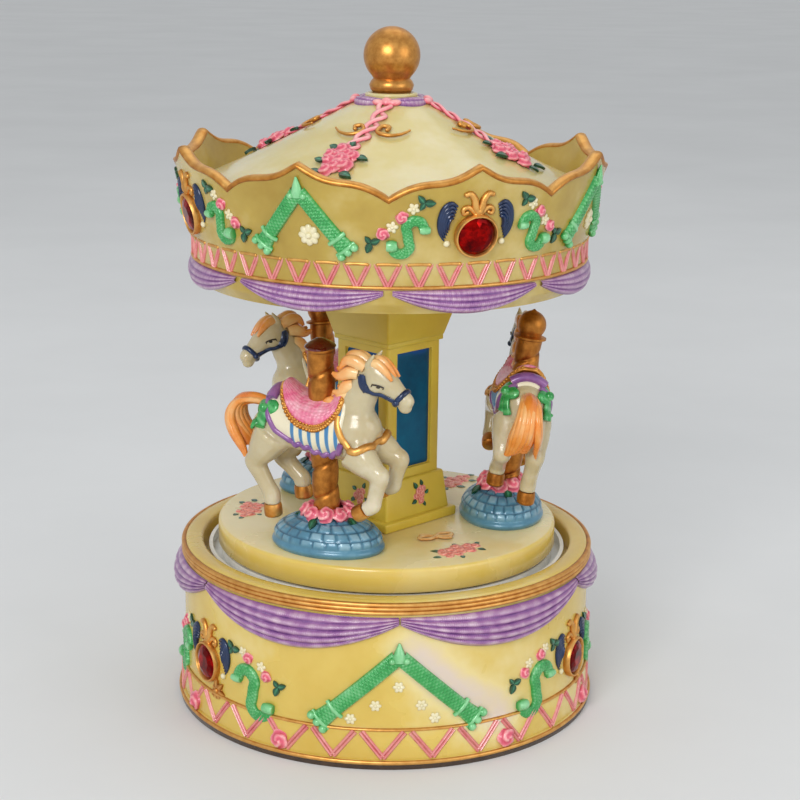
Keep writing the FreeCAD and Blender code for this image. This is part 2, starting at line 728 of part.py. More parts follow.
def canopy():
    """Cast canopy: scalloped cornice, hollow-coned roof, drapes, ribbons, settings and bouquets."""
    seat = column_levels()[-1]
    bottom = seat - CANOPY_UNDERCUT
    band_foot = bottom + CANOPY_LIP
    band_top = cornice_foot()
    top = PEAK_Z + CORNICE_WALL / 2
    inner = cornice_wall(top) - CORNICE_WALL
    middle_radius = (ROOF_EAVE_RADIUS + ROOF_TOP_RADIUS) / 2
    body = turn_profile(
        (0, seat), (CANOPY_LIP_RADIUS - CORNICE_WALL, seat), (CANOPY_LIP_RADIUS - CORNICE_WALL, bottom),
        (CANOPY_LIP_RADIUS, bottom), (CORNICE_FOOT_RADIUS, band_foot), (CORNICE_FOOT_RADIUS, band_top),
        (cornice_wall(top), top), (inner, top), (ROOF_EAVE_RADIUS, ROOF_EAVE_Z),
        (middle_radius, roof_height(middle_radius)), (ROOF_TOP_RADIUS, ROOF_TOP_Z), (0, ROOF_TOP_Z))
    cutter = turned(scallop_cutter(), CANOPY_TURN)
    body = body.cut(Part.Compound(around(cutter, LOBES)))
    pieces = [turn_profile((0, ROOF_TOP_Z - COLLAR), (COLLAR_RADIUS, roof_height(COLLAR_RADIUS) - COLLAR / 2),
                           (COLLAR_RADIUS, roof_height(COLLAR_RADIUS) + COLLAR / 2),
                           (FINIAL_NECK_RADIUS, ROOF_TOP_Z + COLLAR / 2), (0, ROOF_TOP_Z + COLLAR / 2))]
    drape = swag(LOBES, CANOPY_SWAG_TOP, CANOPY_SWAG_HEIGHT, CANOPY_SWAG_BULGE, CANOPY_SWAG_END,
                 CORNICE_FOOT_RADIUS)
    pieces += [turned(drape, CANOPY_TURN + step * 360.0 / LOBES) for step in range(LOBES)]
    for angle in motif_angles(LOBES, CANOPY_TURN, 1):
        pieces += bow_ribbon(angle, CANOPY_RIBBON_TOP, CANOPY_RIBBON_FOOT, CANOPY_RIBBON_SPREAD, cornice_wall)
    setting = bezel()
    for angle in motif_angles(LOBES, CANOPY_TURN, 0):
        wall = cornice_wall(CANOPY_JEWEL_Z)
        pieces.append(facing(setting, angle, wall, CANOPY_JEWEL_Z, cornice_flare()))
        pieces += crest(angle, CANOPY_JEWEL_Z, cornice_wall)
        for hand in (-1, 1):
            place = angle + hand * CANOPY_CURL_TURN
            pieces.append(curl_ribbon(place, CANOPY_CURL_Z, -hand, CANOPY_CURL, cornice_wall))
    for step in range(BOUQUETS):
        angle = BOUQUET_TURN + step * 360.0 / BOUQUETS
        pieces += bouquet(angle)
        pieces.append(garland(angle))
    socket = rod(TENON_RADIUS + SEAT, V(0, 0, seat), TENON + SEAT)
    pin_foot = ROOF_TOP_Z + COLLAR / 2 - FINIAL_PIN
    pin_hole = rod(FINIAL_PIN_RADIUS + SEAT, V(0, 0, pin_foot - SEAT), 2 * FINIAL_PIN)
    return fused(body, pieces).cut(Part.Compound([socket, pin_hole]))


def bouquet(angle):
    """Roses that lie together on the roof, as raised many-sided buds."""
    step = 1.7 * ROSE_RADIUS
    half = step / 2
    rose = bud(ROSE_RADIUS)
    roses = []
    for across, along in ((0, 0), (-step, half), (step, half), (-half, -step), (half, -step)):
        radius = BOUQUET_RADIUS + along
        copy = rose.copy()
        copy.translate(at(angle + math.degrees(across / radius), radius, roof_height(radius)))
        roses.append(copy)
    return roses


def garland(angle):
    """Ribbon that runs up the roof from a bouquet to the collar and drifts round as it climbs."""
    rings = []
    for step in range(4):
        radius = BOUQUET_RADIUS + (COLLAR_RADIUS - COLLAR / 2 - BOUQUET_RADIUS) * step / 3
        here = angle + GARLAND_TWIST * step / 3
        across = at(here + 90, GARLAND_WIDTH / 2, 0)
        centre = at(here, radius, roof_height(radius))
        lift = UP * GARLAND_STAND
        rings.append([centre - across - lift, centre + across - lift, centre + across * 0.6 + lift,
                      centre - across * 0.6 + lift])
    return skin(rings)


def finial():
    """Turned ball on a collar, pinned into the top of the roof."""
    foot = ROOF_TOP_Z + COLLAR / 2
    neck_top = foot + FINIAL_NECK
    waist = FINIAL_NECK_RADIUS * 0.8
    low = -math.degrees(math.acos(waist / FINIAL_BALL_RADIUS))
    centre = neck_top - FINIAL_BALL_RADIUS * math.sin(math.radians(low))
    pin = FINIAL_PIN_RADIUS
    return turn_profile((0, foot - FINIAL_PIN), (pin, foot - FINIAL_PIN), (pin, foot), (waist, foot),
                        (FINIAL_NECK_RADIUS, foot + FINIAL_NECK / 2),
                        *ball_steps(FINIAL_BALL_RADIUS, centre, low))


# Horses, in their own frame: +X forward, +Z up from the disc's top, the pole on the Z axis
def leg(hip, knee, ankle, hoof, side, thigh):
    """Bent leg with its hoof, from (forward, height) joints on one side of the horse."""
    return limb([
        ((hip[0], side * 0.8, hip[1]), thigh, thigh * 1.25),
        (((hip[0] + knee[0]) / 2, side * 0.95, (hip[1] + knee[1]) / 2), thigh * 0.78, thigh * 0.95),
        ((knee[0], side, knee[1]), thigh * 0.56, thigh * 0.6),
        (((knee[0] + ankle[0]) / 2, side, (knee[1] + ankle[1]) / 2), thigh * 0.46, thigh * 0.5),
        ((ankle[0], side, ankle[1]), thigh * 0.46, thigh * 0.48),
        ((hoof[0], side, hoof[1]), thigh * 0.56, thigh * 0.58),
    ])


def horse():
    """Galloping horse with its mane, tail and saddle as one casting, bored for the pole."""
    trunk = limb([
        ((-16.0, 0, 32.0), 1.6, 1.6), ((-14.6, 0, 31.6), 4.3, 4.6), ((-11.0, 0, 31.0), 5.8, 6.6),
        ((-4.0, 0, 30.0), 6.0, 6.6), ((3.0, 0, 29.6), 6.0, 6.8), ((9.0, 0, 29.6), 5.8, 7.2),
        ((13.6, 0, 28.8), 4.4, 5.4), ((15.8, 0, 28.0), 1.6, 2.2),
    ])
    neck = limb([
        ((6.2, 0, 31.0), 4.4, 6.4), ((9.3, 0, 36.4), 3.6, 5.0), ((11.8, 0, 41.2), 3.0, 3.8),
        ((13.6, 0, 45.2), 2.3, 2.8),
    ])
    head = limb([
        ((12.4, 0, 46.4), 1.9, 2.1), ((14.3, 0, 45.2), 2.8, 3.3), ((17.5, 0, 42.6), 2.6, 3.1),
        ((20.4, 0, 40.2), 2.0, 2.4), ((22.6, 0, 38.2), 1.9, 2.1),
    ])
    pieces = [neck, head, Part.makeSphere(2.0, V(22.4, 0, 38.3))]
    for hand in (-1, 1):
        pieces.append(limb([((13.8, hand * 1.5, 46.6), 1.0, 0.9), ((15.4, hand * 1.9, 49.9), 0.3, 0.3)]))
    pieces.append(leg((10.0, 26.5), (17.0, 21.6), (14.9, 14.2), (11.4, 11.9), -3.9, 4.0))
    pieces.append(leg((11.0, 27.0), (17.9, 23.4), (16.6, 15.8), (13.6, 13.4), 3.9, 4.0))
    pieces.append(leg((-11.6, 28.0), (-16.9, 20.2), (-12.7, 12.6), (-12.5, 8.6), -3.8, 4.4))
    pieces.append(leg((-10.0, 27.4), (-14.0, 19.6), (-8.8, 14.6), (-8.6, 11.2), 3.8, 4.4))
    pieces.append(limb([
        ((-14.6, 0, 34.0), 1.5, 1.6), ((-18.4, 0, 34.6), 2.0, 1.8), ((-22.2, 0, 33.6), 2.5, 2.1),
        ((-24.2, 0, 30.2), 2.8, 2.4), ((-22.9, 0, 26.2), 2.8, 2.4), ((-20.3, 0, 21.6), 1.2, 1.1),
    ]))
    pieces.append(limb([
        ((4.2, 0, 37.6), 1.6, 1.6), ((6.0, 0, 41.4), 1.9, 2.4), ((8.6, 0, 45.6), 1.9, 2.4),
        ((12.0, 0, 48.0), 1.7, 1.6), ((15.4, 0, 47.4), 1.2, 1.0),
    ]))
    pieces.append(limb([
        ((-9.0, 0, 37.2), 4.0, 2.8), ((-6.6, 0, 36.4), 4.6, 3.0), ((-1.0, 0, 34.6), 5.6, 3.4),
        ((4.0, 0, 34.6), 5.4, 3.6), ((6.4, 0, 35.6), 3.6, 3.0),
    ]))
    body = fused(trunk, pieces)
    return body.cut(rod(POLE_WIDE_RADIUS + RUNNING, ORIGIN, POLE_COLLAR_Z))


def pole(capped):
    """Twisted pole from the mound to its collar, under a ball finial or a low pointed cap."""
    rings = []
    sections = int(math.ceil((POLE_COLLAR_Z - POLE_FOOT) / (POLE_LEAD / 8)))
    for index in range(sections + 1):
        height = POLE_FOOT + (POLE_COLLAR_Z - POLE_FOOT) * index / sections
        turn = math.radians(360 * (height - POLE_FOOT) / POLE_LEAD)
        across = V(math.cos(turn), math.sin(turn), 0)
        rings.append(section(V(0, 0, height), across, UP.cross(across), POLE_WIDE_RADIUS, POLE_NARROW_RADIUS))
    twist = skin(rings)
    collar_top = POLE_COLLAR_Z + POLE_COLLAR
    steps = [(0, POLE_COLLAR_Z), (POLE_NARROW_RADIUS, POLE_COLLAR_Z),
             (POLE_COLLAR_RADIUS, POLE_COLLAR_Z + POLE_COLLAR / 2)]
    if capped:
        steps += [(POLE_NARROW_RADIUS, collar_top), (0, collar_top + POLE_CAP - POLE_COLLAR)]
    else:
        low = -math.degrees(math.acos(POLE_NARROW_RADIUS * 0.9 / POLE_BALL_RADIUS))
        centre = collar_top - POLE_BALL_RADIUS * math.sin(math.radians(low))
        steps += ball_steps(POLE_BALL_RADIUS, centre, low)[:-1]
        steps += [(POLE_BALL_TIP, centre + POLE_BALL_RADIUS), (0, centre + POLE_BALL_RADIUS + POLE_BALL_TIP)]
    return twist.fuse(turn_profile(*steps))


def mound():
    """Oval cobbled mound in three tiers of facets, with a raised wreath of roses round the pole."""
    tiers = [(0.96, 0), (1.0, MOUND_LIP), (0.78, MOUND_HEIGHT * 0.66), (0.46, MOUND_HEIGHT)]
    rings = []
    for share, height in tiers:
        half_length, half_width = share * MOUND_LENGTH / 2, share * MOUND_WIDTH / 2
        rings.append(section(V(0, 0, height), V(1, 0, 0), V(0, 1, 0), half_length, half_width, MOUND_SIDES))
    hill = skin(rings)
    rose = section(V(0, 0, MOUND_HEIGHT), V(1, 0, 0), V(0, 1, 0), ROSE_RADIUS, ROSE_RADIUS, 6)
    bud = facet(*rose).extrude(V(0, 0, ROSE_RADIUS))
    bud.translate(V(MOUND_ROSE_CIRCLE, 0, -ROSE_RADIUS / 4))
    return fused(hill, around(bud, MOUND_ROSES))


def placed(shape, index, lean):
    """Shape from the horse frame, set on the disc at one of the horse places."""
    angle = HORSE_TURN + index * 360.0 / len(HORSES)
    copy = shape.copy()
    copy.rotate(ORIGIN, V(1, 0, 0), lean)
    copy.rotate(ORIGIN, UP, angle)
    copy.translate(at(angle, HORSE_CIRCLE, DISC_TOP))
    return copy


def horse_sets():
    """The three horses with their poles and mounds, as nodes."""
    nodes = {}
    casting = horse()
    hill = mound()
    for index, name in enumerate(HORSES):
        lean = HORSE_LEANS[index]
        stick = placed(pole(capped=index == 0), index, lean)
        bore = rod(POLE_WIDE_RADIUS + RUNNING, V(0, 0, POLE_FOOT - SEAT), POLE_COLLAR_Z)
        nodes["horse_" + name] = placed(casting, index, lean)
        nodes["pole_" + name] = stick
        nodes["mound_" + name] = placed(hill, index, 0).cut(placed(bore, index, lean))
    return nodes


# Movement
def movement_levels():
    """Heights of the bedplate's top, the barrel flange and the cylinder's axis."""
    bed_top = PLATE_TOP + BEDPLATE
    flange = bed_top + FLANGE_LIFT
    crown_root = flange + FLANGE
    pitch_plane = crown_root + 1.25 * CROWN_MODULE
    axis = pitch_plane + CROWN_MODULE * PINION_TEETH / 2 + MESH_LIFT
    return bed_top, flange, crown_root, pitch_plane, axis


def movement_stations():
    """Places along X of the pinion, posts, cylinder and gears."""
    pitch_radius = CROWN_MODULE * CROWN_TEETH / 2
    flange_radius = pitch_radius + CROWN_FACE / 2
    near_post = flange_radius + SIDE_GAP
    drum = near_post + POST + SIDE_GAP
    gear = drum + CYLINDER_LENGTH + SIDE_GAP
    wheel = gear + GEAR_FACE + 2 * SIDE_GAP
    far_post = wheel + WORM_WHEEL_FACE + 2 * SIDE_GAP
    return {"pitch": pitch_radius, "flange": flange_radius, "pinion": pitch_radius - PINION_FACE / 2,
            "near_post": near_post, "drum": drum, "gear": gear, "wheel": wheel, "far_post": far_post}


def second_axis():
    """(y, z) of the second wheel's arbor."""
    distance = GEAR_MODULE * (CYLINDER_GEAR_TEETH + SECOND_PINION_TEETH) / 2
    return -distance, movement_levels()[4]


def governor_place():
    """(x, y) of the governor's spindle."""
    y, _ = second_axis()
    reach = GEAR_MODULE * WORM_WHEEL_TEETH / 2 + WORM_RADIUS
    return movement_stations()["wheel"] + WORM_WHEEL_FACE / 2, y - reach


def bedplate_screw_places():
    """(x, y) of the screws that hold the bedplate to the bottom plate."""
    inset = BEDPLATE_SCREW_INSET
    near, far = BEDPLATE_Y[0] + inset, BEDPLATE_Y[1] - inset
    left = BEDPLATE_BACK + inset
    return [(left, near), (left, far), (left + 6 * inset, far)]


def post(x, y, top, width=POST_WIDTH):
    """Upright bearing plate across the X axis."""
    foot = movement_levels()[0] - BEDPLATE / 2
    return Part.makeBox(POST, width, top - foot, V(x, y - width / 2, foot))


def bedplate():
    """Cast frame: plate, comb block and the bearing posts of the cylinder and the second wheel."""
    bed_top, _, _, _, axis = movement_levels()
    stations = movement_stations()
    y2, z2 = second_axis()
    length = stations["far_post"] + POST + BEDPLATE_EDGE - BEDPLATE_BACK
    plate = Part.makeBox(length, BEDPLATE_Y[1] - BEDPLATE_Y[0], BEDPLATE,
                         V(BEDPLATE_BACK, BEDPLATE_Y[0], PLATE_TOP))
    plate = plate.common(rod(BEDPLATE_CORNER_RADIUS, V(0, 0, PLATE_TOP), BEDPLATE))
    heel_y = CYLINDER_RADIUS + PIN_STAND + COMB_GAP + COMB_TOOTH
    block = Part.makeBox(COMB_TEETH * COMB_PITCH, COMB_HEEL, axis - COMB / 2 - bed_top + BEDPLATE / 2,
                         V(comb_start(), heel_y, bed_top - BEDPLATE / 2))
    cylinder_top = axis + 2.2 * CYLINDER_SHAFT_RADIUS
    pieces = [block]
    pieces.append(post(stations["near_post"], 0, cylinder_top))
    pieces.append(post(stations["far_post"], 0, cylinder_top))
    pieces.append(post(stations["gear"] - 2 * SIDE_GAP - POST, y2, cylinder_top, POST_WIDTH * 0.8))
    pieces.append(post(stations["far_post"], y2, cylinder_top, POST_WIDTH * 0.8))
    pieces.append(rod(ARBOR_SLEEVE_RADIUS, V(0, 0, bed_top - BEDPLATE / 2), BEDPLATE / 2 + FLANGE_LIFT / 2))
    body = fused(plate, pieces)
    bore = CYLINDER_SHAFT_RADIUS + RUNNING
    cuts = [rod(bore, V(0, 0, axis), 2 * BEDPLATE_CORNER_RADIUS, V(1, 0, 0)),
            rod(bore, V(0, y2, z2), 2 * BEDPLATE_CORNER_RADIUS, V(1, 0, 0)),
            rod(ARBOR_RADIUS + RUNNING, V(0, 0, PLATE_TOP), 2 * BEDPLATE)]
    cuts += [rod(SCREW_RADIUS + SEAT, V(x, y, PLATE_TOP), BEDPLATE) for x, y in bedplate_screw_places()]
    gear_tip = GEAR_MODULE * (CYLINDER_GEAR_TEETH / 2 + 0.8)
    pocket_foot = V(stations["gear"] - SIDE_GAP, 0, axis)
    cuts.append(rod(gear_tip + SIDE_GAP, pocket_foot, GEAR_FACE + 2 * SIDE_GAP, V(1, 0, 0)))
    gx, gy = governor_place()
    cuts.append(rod(GOVERNOR_SHAFT_RADIUS + RUNNING, V(gx, gy, bed_top - BEDPLATE / 2), BEDPLATE))
    cuts += [rod(SCREW_RADIUS + SEAT, V(x, y, axis - COMB / 2 - 3), 3) for x, y in comb_screw_places()]
    return body.cut(Part.Compound(cuts))


def bedplate_screws():
    """Screws through the bottom plate into the bedplate."""
    return screws(bedplate_screw_places(), PLATE + BEDPLATE, PLATE_TOP - PLATE)


def comb_start():
    """X of the comb's first tooth."""
    return movement_stations()["drum"] + (CYLINDER_LENGTH - COMB_TEETH * COMB_PITCH) / 2


def comb_screw_places():
    """(x, y) of the comb's screws."""
    heel = CYLINDER_RADIUS + PIN_STAND + COMB_GAP + COMB_TOOTH
    length = COMB_TEETH * COMB_PITCH
    return [(comb_start() + length * share, heel + COMB_HEEL / 2) for share in (0.25, 0.75)]


def comb():
    """Steel comb: a heel with tuned teeth that reach to the cylinder's pins."""
    axis = movement_levels()[4]
    tip = CYLINDER_RADIUS + PIN_STAND + COMB_GAP
    start = comb_start()
    bottom = axis - COMB / 2
    blank = Part.makeBox(COMB_TEETH * COMB_PITCH, COMB_TOOTH + COMB_HEEL, COMB, V(start, tip, bottom))
    slits = []
    for index in range(1, COMB_TEETH):
        length = COMB_TOOTH * (1 - 0.45 * index / COMB_TEETH)
        corner = V(start + index * COMB_PITCH - COMB_SLIT / 2, tip, bottom)
        slits.append(Part.makeBox(COMB_SLIT, length, COMB, corner))
    slits += [rod(SCREW_RADIUS + SEAT, V(x, y, bottom), COMB) for x, y in comb_screw_places()]
    return blank.cut(Part.Compound(slits))


def comb_screws():
    """Screws that clamp the comb to its block."""
    top = movement_levels()[4] + COMB / 2
    made = screws([(0, 0)], COMB + 2.5, 0)
    made.rotate(ORIGIN, V(1, 0, 0), 180)
    group = []
    for x, y in comb_screw_places():
        copy = made.Solids[0].copy()
        copy.translate(V(x, y, top))
        group.append(copy)
    return Part.Compound(group)


def gear(module, teeth, face, bore, phase):
    """Spur wheel along +X from X = 0, with a tooth at the phase angle from +Y towards +Z."""
    pitch = module * teeth / 2
    tip, root = pitch + 0.8 * module, pitch - 1.1 * module
    half = math.pi * module / 4 - BACKLASH / 2
    lean = math.tan(math.radians(22))
    points = []
    for index in range(teeth):
        centre = math.radians(phase + 360.0 * index / teeth)
        flanks = [(root, -(half + 1.1 * module * lean)), (tip, -(half - 0.8 * module * lean)),
                  (tip, half - 0.8 * module * lean), (root, half + 1.1 * module * lean)]
        for radius, offset in flanks:
            angle = centre + offset / pitch
            points.append(V(0, radius * math.cos(angle), radius * math.sin(angle)))
    wheel = Part.Face(Part.makePolygon(points + points[:1])).extrude(V(face, 0, 0))
    return wheel.cut(rod(bore, ORIGIN, face, V(1, 0, 0)))


def spring_barrel():
    """Open cup for the mainspring, with the crown teeth on its flange."""
    _, flange, crown_root, pitch_plane, _ = movement_levels()
    stations = movement_stations()
    top = crown_root + BARREL_HEIGHT
    inner = BARREL_RADIUS - BARREL_WALL
    bore = ARBOR_RADIUS + RUNNING
    cup = turn_profile((bore, flange), (stations["flange"], flange), (stations["flange"], crown_root),
                       (BARREL_RADIUS, crown_root), (BARREL_RADIUS, top), (inner, top), (inner, crown_root),
                       (bore, crown_root))
    half = math.pi * CROWN_MODULE / 4 - BACKLASH / 2
    lean = math.tan(math.radians(22))
    tip = pitch_plane + 0.8 * CROWN_MODULE
    low = half + (pitch_plane - crown_root) * lean
    high = half - (tip - pitch_plane) * lean
    start = stations["pitch"] - CROWN_FACE / 2
    root = crown_root - FLANGE / 2
    corners = [V(start, -low, root), V(start, low, root), V(start, low, crown_root), V(start, high, tip),
               V(start, -high, tip), V(start, -low, crown_root)]
    tooth = Part.Face(Part.makePolygon(corners + corners[:1])).extrude(V(CROWN_FACE - SEAT, 0, 0))
    return fused(cup, around(tooth, CROWN_TEETH))


def barrel_lid():
    """Lid of the barrel with the output shaft that turns the disc."""
    bottom = movement_levels()[2] + BARREL_HEIGHT
    inner = BARREL_RADIUS - BARREL_WALL - SEAT
    top = DISC_TOP - DISC - SIDE_GAP
    return turn_profile((0, bottom - LID_SPIGOT), (inner, bottom - LID_SPIGOT), (inner, bottom),
                        (BARREL_RADIUS, bottom), (BARREL_RADIUS, bottom + LID), (SHAFT_RADIUS, bottom + LID),
                        (SHAFT_RADIUS, top), (0, top))


def mainspring():
    """Coiled strip inside the barrel, from half turns on two centres."""
    bottom = movement_levels()[2] + SIDE_GAP
    outer_limit = BARREL_RADIUS - BARREL_WALL - SIDE_GAP
    inner_limit = ARBOR_RADIUS + 2 * SIDE_GAP
    half_turns = int((outer_limit - inner_limit - SPRING_STRIP) / (SPRING_PITCH / 2))
    sides = {0.0: [], SPRING_STRIP: []}
    for offset, edges in sides.items():
        for index in range(half_turns):
            hand = 1 if index % 2 == 0 else -1
            centre = hand * SPRING_PITCH / 4
            radius = outer_limit - SPRING_PITCH / 4 - index * SPRING_PITCH / 2 - offset
            edges.append(Part.Arc(V(centre + hand * radius, 0, 0), V(centre, hand * radius, 0),
                                  V(centre - hand * radius, 0, 0)).toShape())
    outer, inner = sides[0.0], sides[SPRING_STRIP]
    ends = [Part.LineSegment(a.valueAt(p), b.valueAt(q)).toShape() for a, b, p, q in (
        (outer[0], inner[0], outer[0].FirstParameter, inner[0].FirstParameter),
        (outer[-1], inner[-1], outer[-1].LastParameter, inner[-1].LastParameter))]
    wire = Part.Wire(Part.__sortEdges__(outer + inner + ends))
    strip = Part.Face(wire).extrude(V(0, 0, SPRING_HEIGHT))
    strip.translate(V(0, 0, bottom))
    return strip


def winding_arbor():
    """Arbor that the key turns: it enters the barrel through the bedplate."""
    bottom = PLATE_TOP - PLATE - 2 * SCREW_HEAD
    top = movement_levels()[2] + SPRING_HEIGHT
    return rod(ARBOR_RADIUS, V(0, 0, bottom), top - bottom)


def winding_key():
    """Butterfly key under the base: two rounded wings on a stem."""
    top = PLATE_TOP - PLATE - SIDE_GAP
    bottom = top - KEY_HEIGHT
    half = KEY_WIDTH / 2
    wing = KEY_HEIGHT / 2
    tip = ((half, bottom + wing), (half - wing, top - wing * 0.4))
    face = outline((0, bottom + wing * 0.6), (half - wing, bottom), tip, (KEY_STEM_RADIUS, top), (0, top))
    blade = face.extrude(V(0, KEY_THICKNESS, 0))
    blade.translate(V(0, -KEY_THICKNESS / 2, 0))
    mirrored = blade.copy()
    mirrored.rotate(ORIGIN, UP, 180)
    stem = rod(KEY_STEM_RADIUS, V(0, 0, bottom + wing * 0.6), top - bottom - wing * 0.6)
    body = fused(blade, [mirrored, stem])
    arbor_foot = PLATE_TOP - PLATE - 2 * SCREW_HEAD
    return body.cut(rod(ARBOR_RADIUS + SEAT, V(0, 0, arbor_foot - SEAT), KEY_HEIGHT))


def along_x(shape, x, y, z):
    """Copy of a shape moved to its place in the movement."""
    copy = shape.copy()
    copy.translate(V(x, y, z))
    return copy


def cylinder():
    """Pinned tube with closed ends: every track has its pins at its own angles."""
    axis = movement_levels()[4]
    start = movement_stations()["drum"]
    body = rod(CYLINDER_RADIUS, V(start, 0, axis), CYLINDER_LENGTH, V(1, 0, 0))
    hollow_foot = V(start + CYLINDER_WALL, 0, axis)
    hollow_length = CYLINDER_LENGTH - 2 * CYLINDER_WALL
    hollow = rod(CYLINDER_RADIUS - CYLINDER_WALL, hollow_foot, hollow_length, V(1, 0, 0))
    shaft = rod(CYLINDER_SHAFT_RADIUS + SEAT, V(start, 0, axis), CYLINDER_LENGTH, V(1, 0, 0))
    pin_foot = CYLINDER_RADIUS - CYLINDER_WALL / 2
    pins = []
    for track in range(COMB_TEETH):
        place = comb_start() + (track + 0.5) * COMB_PITCH - PIN_RADIUS
        for index in range(PINS_PER_TRACK):
            pin = Part.makeBox(2 * PIN_RADIUS, 2 * PIN_RADIUS, PIN_STAND + CYLINDER_WALL / 2,
                               V(place, -PIN_RADIUS, pin_foot))
            pin.rotate(ORIGIN, V(1, 0, 0), 137.5 * (track + index * COMB_TEETH))
            pin.translate(V(0, 0, axis))
            pins.append(pin)
    return fused(body.cut(hollow).cut(shaft), pins)


def cylinder_shaft():
    """Shaft of the cylinder between its two posts."""
    stations = movement_stations()
    axis = movement_levels()[4]
    end = stations["far_post"] + POST
    return rod(CYLINDER_SHAFT_RADIUS, V(stations["pinion"], 0, axis), end - stations["pinion"], V(1, 0, 0))


def cylinder_pinion():
    """Pinion on the cylinder's shaft that the crown teeth turn."""
    phase = -90 + 180.0 / PINION_TEETH
    wheel = gear(CROWN_MODULE, PINION_TEETH, PINION_FACE, CYLINDER_SHAFT_RADIUS + SEAT, phase)
    return along_x(wheel, movement_stations()["pinion"], 0, movement_levels()[4])


def cylinder_gear():
    """Wheel at the far end of the cylinder, with a tooth towards the second pinion."""
    wheel = gear(GEAR_MODULE, CYLINDER_GEAR_TEETH, GEAR_FACE, CYLINDER_SHAFT_RADIUS + SEAT, 180)
    return along_x(wheel, movement_stations()["gear"], 0, movement_levels()[4])


def second_wheel():
    """Second arbor with its pinion and the wheel that turns the governor's worm."""
    y, z = second_axis()
    stations = movement_stations()
    near = stations["gear"] - 2 * SIDE_GAP - POST
    far = stations["far_post"] + POST
    pinion = gear(GEAR_MODULE, SECOND_PINION_TEETH, GEAR_FACE, SEAT, 180.0 / SECOND_PINION_TEETH)
    wheel = gear(GEAR_MODULE, WORM_WHEEL_TEETH, WORM_WHEEL_FACE, SEAT, 180 + 180.0 / WORM_WHEEL_TEETH)
    arbor = rod(CYLINDER_SHAFT_RADIUS, V(near, y, z), far - near, V(1, 0, 0))
    return fused(arbor, [along_x(pinion, stations["gear"], y, z), along_x(wheel, stations["wheel"], y, z)])


def governor_worm():
    """Spindle with the worm thread that the second wheel drives."""
    bed_top, _, _, _, axis = movement_levels()
    x, y = governor_place()
    lead = math.pi * GEAR_MODULE
    root, tip = WORM_RADIUS - 1.1 * GEAR_MODULE, WORM_RADIUS + 0.8 * GEAR_MODULE
    half = lead / 4 - BACKLASH / 2
    slope = math.tan(math.radians(22))
    turns = 3
    wide, slim = half + 0.9 * GEAR_MODULE * slope, half - 0.8 * GEAR_MODULE * slope
    corners = [V(root - 0.2, 0, -wide), V(tip, 0, -slim), V(tip, 0, slim), V(root - 0.2, 0, wide)]
    profile = Part.makePolygon(corners + corners[:1])
    helix = Part.makeHelix(lead, lead * turns, WORM_RADIUS)
    thread = Part.Wire(helix.Edges).makePipeShell([profile], True, True)
    thread.translate(V(0, 0, -lead * turns / 2))
    thread.rotate(ORIGIN, UP, 90 - 180 * turns)
    core = rod(root, V(0, 0, -lead * turns / 2 - lead / 2), lead * turns + lead)
    foot = bed_top - BEDPLATE / 2 + SIDE_GAP - axis
    top = bracket_bottom() + BRACKET - axis
    spindle = rod(GOVERNOR_SHAFT_RADIUS, V(0, 0, foot), top - foot)
    return along_x(fused(core, [thread, spindle]), x, y, axis)


def fan_bottom():
    """Height of the governor fan's lower edge."""
    return movement_levels()[4] + math.pi * GEAR_MODULE * 2.5 + FAN_LIFT


def bracket_bottom():
    """Height of the governor bracket's arm."""
    return fan_bottom() + FAN_HEIGHT + SIDE_GAP


def governor_fan():
    """Two-bladed air brake on the governor's spindle."""
    x, y = governor_place()
    hub_radius = 2 * GOVERNOR_SHAFT_RADIUS
    blades = Part.makeBox(2 * FAN_RADIUS, FAN_BLADE, FAN_HEIGHT, V(-FAN_RADIUS, -FAN_BLADE / 2, 0))
    fan = fused(rod(hub_radius, ORIGIN, FAN_HEIGHT), [blades])
    fan = fan.cut(rod(GOVERNOR_SHAFT_RADIUS + SEAT, ORIGIN, FAN_HEIGHT))
    return along_x(fan, x, y, fan_bottom())


def governor_bracket():
    """Post and arm that hold the top of the governor's spindle."""
    bed_top = movement_levels()[0]
    x, y = governor_place()
    post_x = x - FAN_RADIUS - SIDE_GAP - BRACKET_POST
    upright = Part.makeBox(BRACKET_POST, BRACKET_POST, bracket_bottom() + BRACKET - bed_top,
                           V(post_x, y - BRACKET_POST / 2, bed_top))
    arm = Part.makeBox(x + 2 * GOVERNOR_SHAFT_RADIUS - post_x, BRACKET_POST, BRACKET,
                       V(post_x, y - BRACKET_POST / 2, bracket_bottom()))
    hole = rod(GOVERNOR_SHAFT_RADIUS + RUNNING, V(x, y, bracket_bottom()), BRACKET)
    return fused(upright, [arm]).cut(hole)


